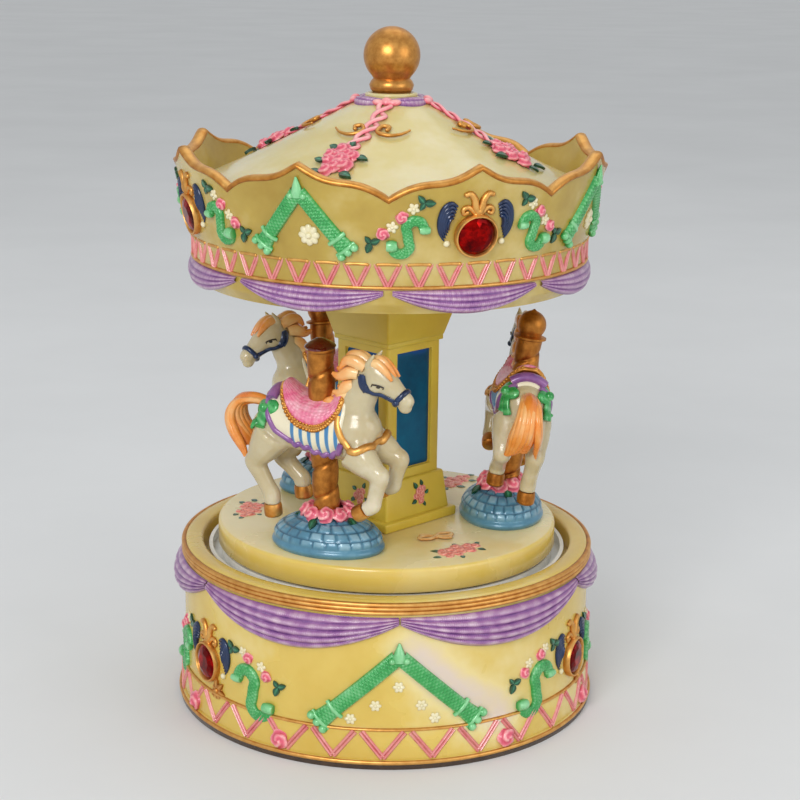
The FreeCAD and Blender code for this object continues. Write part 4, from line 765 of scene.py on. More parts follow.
def acanthus_form(outer: float, hand: int) -> Form:
    """Bowed plume of nested crescents beside a setting.

    Args:
        outer: Outer radius of the setting.
        hand: 1 at its right and -1 at its left.

    Returns:
        The plume.
    """
    form = Form()
    middle = Vector((outer + 0.9, outer - 2.3))
    edge = [Vector((outer + reach, outer + rise)) for reach, rise in (
        (-0.1, 1.7), (1.4, 2.5), (2.9, 1.3), (3.6, -1.4), (3.3, -4.0), (2.2, -6.0))]
    for index in range(5):
        shrink = 1 - 0.17 * index
        path = flow([middle + (spot - middle) * shrink for spot in edge], 4)
        last = len(path) - 1
        widths = []
        for step in range(last + 1):
            full = sin(pi * (0.12 + 0.8 * step / last))
            widths.append((0.62 * full, (0.62 + 0.1 * index) * full))
        line = [Vector((hand * spot.x, spot.y, 0.15)) for spot in path]
        form.add(sweep(line, widths))
    # Painted highlight: parts that stand further out are lighter, the rest stays dark navy.
    return form.painted(lambda co: 0.3 * max(0.0, co.z))


def tape_form(path: Sequence[Vector], width: float, thick: float, steps: int,
              flare: float = 1.0) -> Form:
    """Flat ribbon with a beaded weave, along a flat path.

    Args:
        path: Points of the ribbon's middle line.
        width: Width of the ribbon.
        thick: How far it stands out.
        steps: Steps between each pair of points.
        flare: Width at the last end as a share of the width.

    Returns:
        The ribbon, with its distance along and across as cloth coordinates.
    """
    line = flow(path, steps)
    lengths = [0.0]
    for a, b in zip(line, line[1:]):
        lengths.append(lengths[-1] + (b - a).length)
    form = Form()
    last = len(line) - 1
    for vert in form.grid(last, 20):
        index = min(last, max(0, round((vert.co.x + 1) / 2 * last)))
        share = vert.co.y
        half = width / 2 * (1 + (flare - 1) * max(0.0, 4 * index / last - 3))
        along = (line[min(index + 1, last)] - line[max(index - 1, 0)]).normalized()
        across = Vector((-along.y, along.x, 0))
        crown = (1 - abs(share) ** 5) ** 0.5
        bead = cos(pi * 2.5 * share) * cos(tau * lengths[index] / 0.9)
        edge = max(0.0, 1 - abs(abs(share) - 0.86) / 0.14)
        vert[form.cloth] = Vector((lengths[index], share * half, 0))
        # The bead pattern tints the ribbon; a painted highlight lightens its crowned middle and raised
        # edges.
        vert[form.relief] = clamp(0.3 + 0.45 * crown * (0.5 + 0.5 * bead) + 0.35 * edge)
        out = thick * crown * (0.86 + 0.1 * bead * (1 - edge) + 0.12 * edge) - 0.3 * (1 - crown)
        vert.co = line[index] + across * (share * half) + UP * out
    return form


def jewel_form(radius: float, height: float) -> Form:
    """Faceted round stone: girdle, crown facets and a flat table.

    Args:
        radius: Radius of the girdle.
        height: Height of the crown.

    Returns:
        The stone.
    """
    form = Form()
    rings = ((16, 1.0, 0.0, 0), (16, 1.0, 0.35, 0), (16, 0.8, 0.72, 0.5), (8, 0.52, 1.0, 0))
    for count, reach, rise, phase in rings:
        ring = bmesh.ops.create_circle(form.bm, segments=count, radius=radius * reach)["verts"]
        lift = Matrix.Translation((0, 0, height * rise))
        bmesh.ops.transform(form.bm, matrix=lift @ spun(360 * phase / count), verts=ring)
    bmesh.ops.convex_hull(form.bm, input=form.bm.verts)
    return form


def drape_form(span: float, top: float, low: float, gather: float, bulge: float, folds: int) -> Form:
    """Hanging cloth between two gathers, with long folds that follow its curve.

    Args:
        span: Half width between the gathers.
        top: Height of the upper edge at the middle, from the gathers.
        low: Drop of the lower edge at the middle.
        gather: Height of the cloth at the gathers.
        bulge: How far the cloth stands out.
        folds: Number of long folds.

    Returns:
        The cloth, with its cloth coordinates in millimetres.
    """
    form = Form()
    for vert in form.grid(56, 10 * folds):
        u, v = vert.co.x, (vert.co.y + 1) / 2
        full = 1 - u * u
        upper = top * full + gather / 2 * (1 - full)
        lower = -low * full - gather / 2 * (1 - full)
        ridge = abs(sin(pi * folds * (v + 0.04 * u)))
        swell = max(0.0, sin(pi * min(1.0, 0.04 + 0.92 * v ** 0.85))) ** 0.6
        rib = 0.5 + 0.5 * sin(span * u * 5.2 + 1.3 * sin(7 * v + 3 * u))
        vert[form.cloth] = Vector((span * u, low * v, 0))
        # Painted highlight on the ridges of the folds and painted shade in their grooves; the rib term adds
        # a weave tint.
        vert[form.relief] = clamp(0.75 * ridge ** 0.7 + 0.2 * rib - 0.12)
        depth = bulge * swell * (0.45 + 0.55 * full) * (0.72 + 0.28 * ridge ** 0.8) + 0.06 * rib * ridge
        vert.co = Vector((span * u, lower + (upper - lower) * v, depth - 0.35 * (1 - swell)))
    return form


@dataclass
class Spray:
    """A scatter of roses, blossoms and leaves that is laid on one surface."""

    roses: Form = field(default_factory=Form)
    blossoms: Form = field(default_factory=Form)
    leaves: Form = field(default_factory=Form)
    paint: Finish = Finishes.ROSE

    def bunch(self, place: Callable[[float, float, float, float], Place], count: int, radius: float,
              spread: Pair, leaf_count: int, seed: int) -> None:
        """Adds a bunch of roses with leaves round it.

        Args:
            place: Makes a map from right, up, turn and scale.
            count: Number of roses.
            radius: Radius of a rose.
            spread: Half width and half height of the bunch.
            leaf_count: Number of leaves.
            seed: Seed of the scatter.
        """
        dice = random.Random(seed)
        rose, leaf = rose_form(radius), leaf_form(radius * 1.7, radius * 0.95)
        for index in range(count):
            turn = 2.4 * index
            reach = sqrt((index + 0.3) / count)
            x, y = spread[0] * reach * cos(turn), spread[1] * reach * sin(turn)
            self.roses.add(rose, place(x, y, dice.uniform(0, 360), dice.uniform(0.85, 1.1)))
        for index in range(leaf_count):
            turn = tau * (index + dice.uniform(-0.25, 0.25)) / leaf_count
            x, y = 1.1 * spread[0] * cos(turn), 1.1 * spread[1] * sin(turn)
            lean = degrees(turn) + dice.uniform(-40, 40)
            self.leaves.add(leaf, place(x, y, lean, dice.uniform(0.8, 1.15)))

    def dress(self, name: str, body: str = "carousel") -> None:
        """Makes the pieces of the spray.

        Args:
            name: Prefix of the piece names.
            body: Body that carries them.
        """
        parts = ((self.roses, "roses", self.paint), (self.blossoms, "blossoms", Finishes.CREAM),
                 (self.leaves, "leaves", Finishes.LEAF))
        for form, part, finish in parts:
            if form.bm.verts:
                form.piece(f"{name}_{part}", finish, body=body)


@dataclass
class Trim:
    """Painted relief of one round wall, gathered by finish."""

    wall: Wall
    gold: Form = field(default_factory=Form)
    green: Form = field(default_factory=Form)
    navy: Form = field(default_factory=Form)
    pink: Form = field(default_factory=Form)
    lilac: Form = field(default_factory=Form)
    gems: Form = field(default_factory=Form)
    spray: Spray = field(default_factory=Spray)

    def zigzag(self, count: int, low: float, high: float, width: float, gap: float) -> None:
        """Adds a lattice of V bars round the wall, each bar of two cords.

        Args:
            count: Number of Vs.
            low: Height of the Vs' feet.
            high: Height of the Vs' tops.
            width: Width of a bar.
            gap: Distance between the tops of neighbouring Vs.
        """
        step = pi * self.wall.radius(low) / count - gap / 2
        foot = Vector((0, (low - high) / 2, 0))
        for hand in (-1, 1):
            bar, along = Form(), Vector((hand * step, high - low, 0))
            across = Vector((-along.y, along.x, 0)).normalized() * width * 0.26
            for start in (foot + across, foot - across):
                path = [start + along * share for share in (0.0, 0.25, 0.5, 0.75, 1.0)]
                bar.add(sweep(path, [(width * 0.28, width * 0.36)] * 5, sides=6))
            self.pink.add(bar, *self.wall.around(count, (low + high) / 2))

    def setting(self, azimuth: float, height: float, radius: float, tall: bool) -> None:
        """Adds a jewel in its setting, with gold horns and navy plumes.

        Args:
            azimuth: Angle of the jewel.
            height: Height of the jewel.
            radius: Radius of the stone.
            tall: Whether a gold flower hangs under it.
        """
        here = self.wall.place(azimuth, height)
        outer = radius + 0.6
        self.gems.add(jewel_form(radius - 0.05, 1.3), onto(here, 0, 0, 0.55))
        bezel = hoop(radius + 0.279, 0.525, 0.3844, 1.125, 48, 10)
        # Painted highlight: the bezel is lighter towards its top.
        self.gold.add(bezel.painted(lambda co: 0.5 + co.z / 3), here)
        self.gold.add(ball(1.15, (1, 0.9, 0.8)), onto(here, 0, outer + 0.5, 0.3))
        for hand in (-1, 1):
            horn = [(-0.3, -0.4), (0.7, 1.5), (1.1, 3.2), (2.1, 4.5), (3.1, 4.3)]
            self.gold.add(stem_form([(hand * x, outer + y) for x, y in horn], 0.95, 0.5, 4, 0.1), here)
            curl = [(0.8, 0.2), (2.3, 1.5), (3.5, 1.0), (3.3, 0.0), (2.5, 0.3)]
            self.gold.add(stem_form([(hand * x, outer + y) for x, y in curl], 0.6, 0.4, 4), here)
            self.navy.add(acanthus_form(outer, hand), here)
            self.spray.blossoms.add(ball(0.75, (1, 1, 0.8)), onto(here, hand * (outer + 1.6), -1.7, 0.3))
        if tall:
            side, low = azimuth + 4.2, height - outer - 1.4
            self.gold.add(blossom_form(1.9), self.wall.place(side, low, 18))
            for turn in range(-150, 91, 48):
                self.gold.add(leaf_form(3.3, 1.5), self.wall.place(side, low, turn))

    def peak(self, azimuth: float, top: float, foot: float, reach: float, width: float) -> None:
        """Adds a green ribbon that hangs in an inverted V, with its knot and its cuffs.

        Args:
            azimuth: Angle of the peak.
            top: Height of the peak.
            foot: Height of the feet.
            reach: Half spread of the feet along the wall.
            width: Width of the ribbon.
        """
        place = self.wall.place(azimuth, (top + foot) / 2)
        half = (top - foot) / 2
        for hand in (-1, 1):
            points = [Vector((hand * reach * t, half - 2 * half * t, 0)) for t in (0.02, 0.35, 0.7, 1.0)]
            self.green.add(tape_form(points, width, 1.25, 40, 1.3), place)
            along = (points[-1] - points[0]).normalized()
            across = Vector((-along.y, along.x, 0))
            for share, size in ((0.8, 1.1), (0.985, 1.25)):
                middle = points[0].lerp(points[-1], share)
                path = []
                for s in (-1, -0.6, 0, 0.6, 1):
                    path.append(middle + across * (width * 0.56 * size * s) + UP * (0.95 - 0.75 * s * s))
                self.green.add(sweep(path, [(0.55, 0.55)] * 5), place)
            for shift in (-0.46, 0, 0.46):
                spot = points[-1] + along * 0.45 + across * (shift * width * 1.15) + UP * 0.7
                self.green.add(ball(width * 0.27, detail=3), onto(place, *spot))
            self.green.add(ball(width * 0.21, detail=3), onto(place, hand * width * 0.42, half - 0.9, 0.9))
        rows = ((-1.2, 0.36), (0.0, 0.4), (1.1, 0.3), (2.2, 0.18), (3.3, 0.06))
        tip = [Vector((0, half + rise, 0.55)) for rise, _ in rows]
        self.green.add(sweep(tip, [(width * size, width * size * 0.8) for _, size in rows], sides=12), place)

    def curl(self, azimuth: float, height: float, hand: int, size: float, width: float) -> None:
        """Adds a green ribbon in an S, its hook to one hand and its foot to the other, with rolled ends.

        Args:
            azimuth: Angle of its middle.
            height: Height of its middle.
            hand: 1 or -1, the side of its hook.
            size: Height of the S.
            width: Width of the ribbon.
        """
        place = self.wall.place(azimuth, height)
        bend = 0.26 * size
        points = []
        for side, turns in ((1, (0, 55, 110, 165, 215)), (-1, (215, 165, 110, 55, 0))):
            for turn in turns:
                angle = radians(turn)
                x = 0.2 * size + bend * cos(angle)
                y = size / 2 - bend + bend * sin(angle)
                points.append(Vector((side * hand * x, side * y, 0)))
        self.green.add(tape_form(points, width, 1.2, 9), place)
        for spot, size in ((points[0], 0.95), (points[-1], 1.35)):
            roll = [spot + Vector((s * width * 0.46, 0, 0.75)) for s in (-1, -0.4, 0.4, 1)]
            widths = [(size * share, size * share * 0.9) for share in (0.8, 1.0, 1.0, 0.8)]
            self.green.add(sweep(roll, widths, sides=12), place)

    def flank(self, azimuth: float, curl: tuple[float, ...], rows: Sequence[Pair]) -> None:
        """Adds an S ribbon and a garland of leaves, blossoms and roses at each side of a jewel.

        Args:
            azimuth: Angle of the jewel.
            curl: Angle from the jewel, height, size and width of the ribbon.
            rows: Angle from the jewel and height of each flower of the garland.
        """
        rose, blossom, leaf = rose_form(1.35), blossom_form(1.3), leaf_form(2.5, 1.6)
        reach, middle, size, width = curl
        for hand in (-1, 1):
            self.curl(azimuth + hand * reach, middle, -hand, size, width)
            for index, (angle, height) in enumerate(rows):
                side, turn = azimuth + hand * angle, 50 * index
                if index in (0, 5):
                    for spin, scale in ((0, 1.0), (130, 0.9), (240, 0.75)):
                        self.spray.leaves.add(leaf, self.wall.place(side, height, turn + spin, scale))
                elif index in (2, 4):
                    self.spray.roses.add(rose, self.wall.place(side, height, turn))
                else:
                    self.spray.blossoms.add(blossom, self.wall.place(side, height, turn))

    def dress(self, name: str, body: str) -> None:
        """Makes the pieces of the trim.

        Args:
            name: Prefix of the piece names.
            body: Body that carries them.
        """
        self.gold.piece(f"{name}_gilding", Finishes.GILT, "gold_paint", body)
        parts = ((self.green, "ribbons", Finishes.GREEN), (self.navy, "acanthus", Finishes.NAVY),
                 (self.pink, "lattice", Finishes.LATTICE), (self.lilac, "drapes", Finishes.LILAC))
        for form, part, finish in parts:
            form.piece(f"{name}_{part}", finish, body=body)
        stones = self.gems.piece(f"{name}_stones", Finishes.GEM, "jewel_red", body, 5)
        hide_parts(f"{name}_jewels")
        self.spray.dress(name, body)


@dataclass
class Drum:
    """Drum base with its rim, drapes, ribbons, settings and lattice foot."""

    foot: float = 52.2
    wall: float = 50.4
    rim_top: float = 40.3
    rim_inner: float = 45.7
    cavity: float = 46.0
    deck_top: float = 35.0
    deck_under: float = 31.5
    bore: float = 5.05
    panels: int = 6
    turn: float = 4.0
    jewel_height: float = 16.5
    jewel_radius: float = 4.3
    rim_lines: tuple[float, ...] = (37.55, 38.55, 39.5)
    foot_line: float = 9.35
    drape_height: float = 35.6
    bars: int = 28
    lattice: Pair = (2.7, 8.9)
    ribbon: tuple[float, ...] = (27.2, 10.6, 18.3, 3.9)
    pearls: tuple[Pair, ...] = ((0, 19.7), (6, 15.1), (-6, 15.1), (9.6, 11.8), (-12.5, 11.6))
    curl: tuple[float, ...] = (19.0, 13.6, 10.5, 3.0)
    garland: tuple[Pair, ...] = (
        (11.4, 22.9), (15.4, 22.9), (17.3, 21.8), (21.7, 20.6), (23.4, 18.6), (27.2, 16.7))
    streak: tuple[Pair, Pair] = ((7, 27), (29, 9))
    streak_width: float = 5.5
    band_rose_angles: tuple[float, ...] = (-62.5, -27.6, 33.8, 70.8, 112.0, 153.0, 194.0, 238.0)

    def shell(self) -> None:
        """Makes the hollow cast drum."""
        profile = [
            (self.cavity, 1.0), (self.foot - 0.5, 1.0), (self.foot, 1.4), (self.foot - 0.2, 2.0),
            (self.foot - 0.9, 2.3), (self.wall + 0.9, 5.8), (self.wall + 0.5, 9.2), (self.wall + 0.15, 9.8),
            *((self.wall, 10.6 + 1.9 * step) for step in range(15)),
            (self.wall - 0.1, 39.4), (self.wall - 0.6, 40.1), (self.wall - 1.4, self.rim_top),
            (self.rim_inner + 0.7, self.rim_top),
            (self.rim_inner + 0.15, 40.0), (self.rim_inner, 39.4), (self.rim_inner, self.deck_top),
            (self.bore, self.deck_top), (self.bore, self.deck_under), (self.cavity, self.deck_under)]
        form = lathe(profile, ROUND).painted(self.bloom)
        shell = form.piece("drum_shell", Finishes.CAST, body="base", crease=50)
        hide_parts("base_shell")

    def bloom(self, co: Vector) -> float:
        """Relief of the drum, highest in the milky streak that runs down beside the front ribbon.

        Args:
            co: Point of the drum.

        Returns:
            Place on the resin's colours.
        """
        start, end = Vector(self.streak[0]), Vector(self.streak[1])
        spot = Vector((self.wall * atan2(co.x, -co.y), co.z)) - start
        share = clamp(spot.dot(end - start) / (end - start).length_squared)
        gap = (spot - (end - start) * share).length
        return 0.45 + 0.55 * exp(-(gap / self.streak_width) ** 2)

    def bands(self, trim: Trim) -> None:
        """Adds the gold rim lines, the drapes and the lattice foot.

        Args:
            trim: Relief of the drum's wall.
        """
        for height in self.rim_lines:
            trim.gold.add(hoop(self.wall + 0.05, height, 0.62, 0.55, ROUND))
        trim.gold.add(hoop(self.foot - 0.35, 1.65, 0.42, 0.55, ROUND))
        trim.gold.add(hoop(self.wall + 0.35, self.foot_line, 0.5, 0.38, ROUND))
        drape = drape_form(pi * self.wall / self.panels - 0.2, 1.0, 8.0, 1.9, 2.7, 5)
        middle = self.turn + 180 / self.panels
        trim.lilac.add(drape, *trim.wall.around(self.panels, self.drape_height, middle))
        foot = Wall((self.foot - 0.9, 2.3), (self.wall + 0.5, 9.2))
        Trim(foot, pink=trim.pink).zigzag(self.bars, *self.lattice, 1.5, 1.6)
        for angle in self.band_rose_angles:
            trim.spray.roses.add(rose_form(2.2), foot.place(angle, 4.4, angle))

    def dress(self) -> None:
        """Builds the drum and gives the pieces in and under it their finish."""
        self.shell()
        trim = Trim(Wall((self.wall, 0), (self.wall, 40)))
        self.bands(trim)
        for index in range(self.panels):
            azimuth = self.turn + index * 360 / self.panels
            if index % 2:
                trim.setting(azimuth, self.jewel_height, self.jewel_radius, True)
                trim.flank(azimuth, self.curl, self.garland)
                continue
            trim.peak(azimuth, *self.ribbon)
            for shift, height in self.pearls:
                trim.spray.blossoms.add(blossom_form(1.3, 6), trim.wall.place(azimuth + shift, height))
        trim.dress("base", "base")
        kinds = {
            Finishes.FELT: ("felt_ring",), Finishes.PLATE: ("bottom_plate",),
            Finishes.WHITE: ("bearing_ring", "drive_hub"),
            Finishes.STEEL: ("plate_screws", "bedplate", "bedplate_screws", "comb", "comb_screws",
                             "hub_screws", "mainspring", "winding_arbor", "cylinder_shaft", "governor_worm"),
            Finishes.BRASS: ("shaft_bush", "governor_bracket", "spring_barrel", "barrel_lid", "winding_key",
                             "cylinder", "cylinder_pinion", "cylinder_gear", "second_wheel", "governor_fan")}
        for finish, nodes in kinds.items():
            for node in nodes:
                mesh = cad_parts[node].data
                mesh.materials.clear()
                mesh.materials.append(finish.material())
                LOG.info("%s: %s", node, finish.name)


@dataclass
class Turntable:
    """Turning disc with flat rose sprays and a gold bow."""

    radius: float = 41.9
    top: float = 45.0
    thick: float = 6.0
    sprays: tuple[tuple[float, float, float], ...] = (
        (31.6, 32.9, 48.0), (-93.0, 34.5, -95.0), (148.0, 33.5, 60.0), (-156.0, 22.5, 20.0))

    def disc(self) -> None:
        """Makes the cast disc with its soft edge, its top face painted lighter than its rim as painted
        light.
        """
        low = self.top - self.thick
        profile = [(0, low), (self.radius - 0.4, low), (self.radius, low + 0.4),
                   (self.radius, self.top - 1.0), (self.radius - 0.1, self.top - 0.5),
                   (self.radius - 0.35, self.top - 0.18),
                   (self.radius - 0.8, self.top), (24, self.top), (0, self.top)]
        # Painted light: the top face takes the light end of the disc's colours and the rim the darker end.
        form = lathe(profile, ROUND, False).painted(lambda co: 0.95 if co.z > self.top - 0.1 else 0.4)
        disc = form.piece("turning_disc", Finishes.DISC_PAINTED_LIT_TOP, crease=50)
        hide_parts("turntable")

    def bow(self) -> None:
        """Makes the gold bow in front of the column."""
        form = Form()
        centre = at(32, 22.5, self.top + 0.35)
        loop = ((0, 0), (1.6, 1.5), (3.8, 1.4), (4.2, 0.1), (2.6, -0.7), (0.2, -0.1))
        tail = ((0, -0.1), (1.2, -1.4), (2.6, -2.0), (3.4, -1.5))
        for turn in (20, 200):
            for points, lift, widths in ((loop, 0.2, (0.55, 0.35)), (tail, 0.1, (0.45, 0.3))):
                line = flow([Vector((x, y, lift)) for x, y in points], 4)
                form.add(sweep(line, [widths] * len(line)), laid(*centre, turn))
        form.add(ball(0.9, (1, 1, 0.7)), laid(*centre))
        form.piece("disc_bow", Finishes.BOW, "gold_paint")

    def dress(self) -> None:
        """Builds the disc."""
        self.disc()
        spray = Spray(paint=Finishes.SALMON)
        for seed, (azimuth, radius, turn) in enumerate(self.sprays):
            base = Matrix.Translation(at(azimuth, radius, self.top - 0.2)) @ spun(turn)
            spray.bunch(bed(base, 0, 0.55), 15, 1.35, (5.8, 2.7), 6, seed)
        spray.dress("disc")
        self.bow()


@dataclass
class Column:
    """Square column with a stepped plinth, sunk blue panels and a flared capital."""

    foot: float = 45.0
    plinth: Pair = (24.6, 2.4)
    pedestal: tuple[float, float, float] = (22.0, 19.8, 9.4)
    shaft: Pair = (18.0, 34.0)
    capital: tuple[float, float, float] = (19.2, 28.0, 16.2)
    panel: Pair = (11.8, 29.2)
    panel_foot: float = 2.2
    recess: float = 0.7

    def block(self, low: float, high: float, bottom: float, height: float, edge: float) -> Form:
        """Tapered square block with softened edges, its corner to the front.

        Args:
            low: Side at the bottom.
            high: Side at the top.
            bottom: Height of the bottom.
            height: Height of the block.
            edge: Width of the softened edges.

        Returns:
            The block.
        """
        form = Form()
        bmesh.ops.create_cube(form.bm, size=1)
        for vert in form.bm.verts:
            side = low if vert.co.z < 0 else high
            vert.co = Vector((vert.co.x * side, vert.co.y * side, bottom + (vert.co.z + 0.5) * height))
        form.soften(form.bm.edges, edge)
        return form.moved(spun(45))

    def levels(self) -> list[float]:
        """Heights of the foot, plinth, pedestal, shaft and capital."""
        heights = [self.foot]
        for rise in (self.plinth[1], self.pedestal[2], self.shaft[1], self.capital[2]):
            heights.append(heights[-1] + rise)
        return heights

    def core(self, pedestal: float) -> Form:
        """Square shaft with a sunk panel in each face.

        Args:
            pedestal: Height of the pedestal's top.

        Returns:
            The shaft.
        """
        core = Form()
        bmesh.ops.create_cube(core.bm, size=1)
        side, height = self.shaft[0], self.shaft[1] + 1
        core.shaped(lambda co: Vector((co.x * side, co.y * side, pedestal - 0.5 + (co.z + 0.5) * height)))
        upright = [edge for edge in core.bm.edges if abs(edge.verts[0].co.z - edge.verts[1].co.z) > 1]
        core.soften(upright, 0.9)
        walls = [face for face in core.bm.faces if abs(face.normal.z) < 0.1 and face.calc_area() > 300]
        bmesh.ops.inset_individual(core.bm, faces=walls, thickness=0.2)
        for face in walls:
            middle = face.calc_center_median()
            for vert in face.verts:
                across = vert.co - middle
                rise = pedestal + self.panel_foot + (self.panel[1] if across.z > 0 else 0)
                flat = Vector((across.x, across.y, 0)).normalized() * self.panel[0] / 2
                vert.co = Vector((middle.x + flat.x, middle.y + flat.y, rise))
        bmesh.ops.inset_individual(core.bm, faces=walls, thickness=0.15, depth=-self.recess)
        return core.moved(spun(45))

    def body(self) -> None:
        """Makes the cast column."""
        foot, plinth, pedestal, shaft, _ = self.levels()
        form = self.block(self.plinth[0], self.plinth[0], foot, self.plinth[1], 0.5)
        form.add(self.block(self.pedestal[0], self.pedestal[1], plinth - 0.4, self.pedestal[2] + 0.4, 0.6))
        form.add(self.block(self.capital[0], self.capital[1], shaft, self.capital[2], 0.6))
        form.add(self.block(self.capital[0] - 0.2, self.capital[0] - 0.2, shaft - 1.0, 1.4, 0.35))
        form.add(self.core(pedestal))
        column = form.piece("column_body", Finishes.PILLAR, crease=35)
        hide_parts("column")

    def panels(self) -> None:
        """Makes the four blue panels with their edges painted brighter blue as a painted highlight."""
        bottom = self.levels()[2] + self.panel_foot
        form, plate = Form(), Form()
        width, height = self.panel[0] - 0.3, self.panel[1] - 0.3
        for vert in plate.grid(24, 48):
            u, v = vert.co.x, vert.co.y
            edge = min((1 - abs(u)) * width / 2, (1 - abs(v)) * height / 2)
            # Painted highlight: the edges take the bright blue first stop; the panel also darkens towards
            # its top.
            vert[plate.relief] = min(1.0, edge) * (0.62 - 0.3 * v)
            vert.co = Vector((u * width / 2, v * height / 2, 0.2 * min(1.0, edge / 0.8)))
        depth = self.shaft[0] / 2 - self.recess - 0.02
        for quarter in range(4):
            spot = Matrix.Translation((0, -depth, bottom + self.panel[1] / 2))
            form.add(plate, by(spun(90 * quarter + 45) @ spot @ spun(90, "X")))
        form.piece("column_panels", Finishes.PANEL)

    def sprigs(self) -> None:
        """Makes the rose sprigs on the pedestal's faces."""
        spray = Spray(paint=Finishes.SALMON)
        _, plinth, pedestal, _, _ = self.levels()
        slope = atan2((self.pedestal[0] - self.pedestal[1]) / 2, self.pedestal[2])
        reach = (self.pedestal[0] + self.pedestal[1]) / 4
        lay = Matrix.Translation((1.2, -reach, (plinth + pedestal) / 2))
        tilt = Matrix.Rotation(pi / 2 - slope, 4, "X")
        for quarter in range(4):
            base = spun(90 * quarter + 45) @ lay @ tilt
            spray.bunch(bed(base, -0.15, 0.7), 5, 1.05, (1.5, 2.0), 5, 20 + quarter)
        spray.dress("pedestal")

    def dress(self) -> None:
        """Builds the column."""
        self.body()
        self.panels()
        self.sprigs()


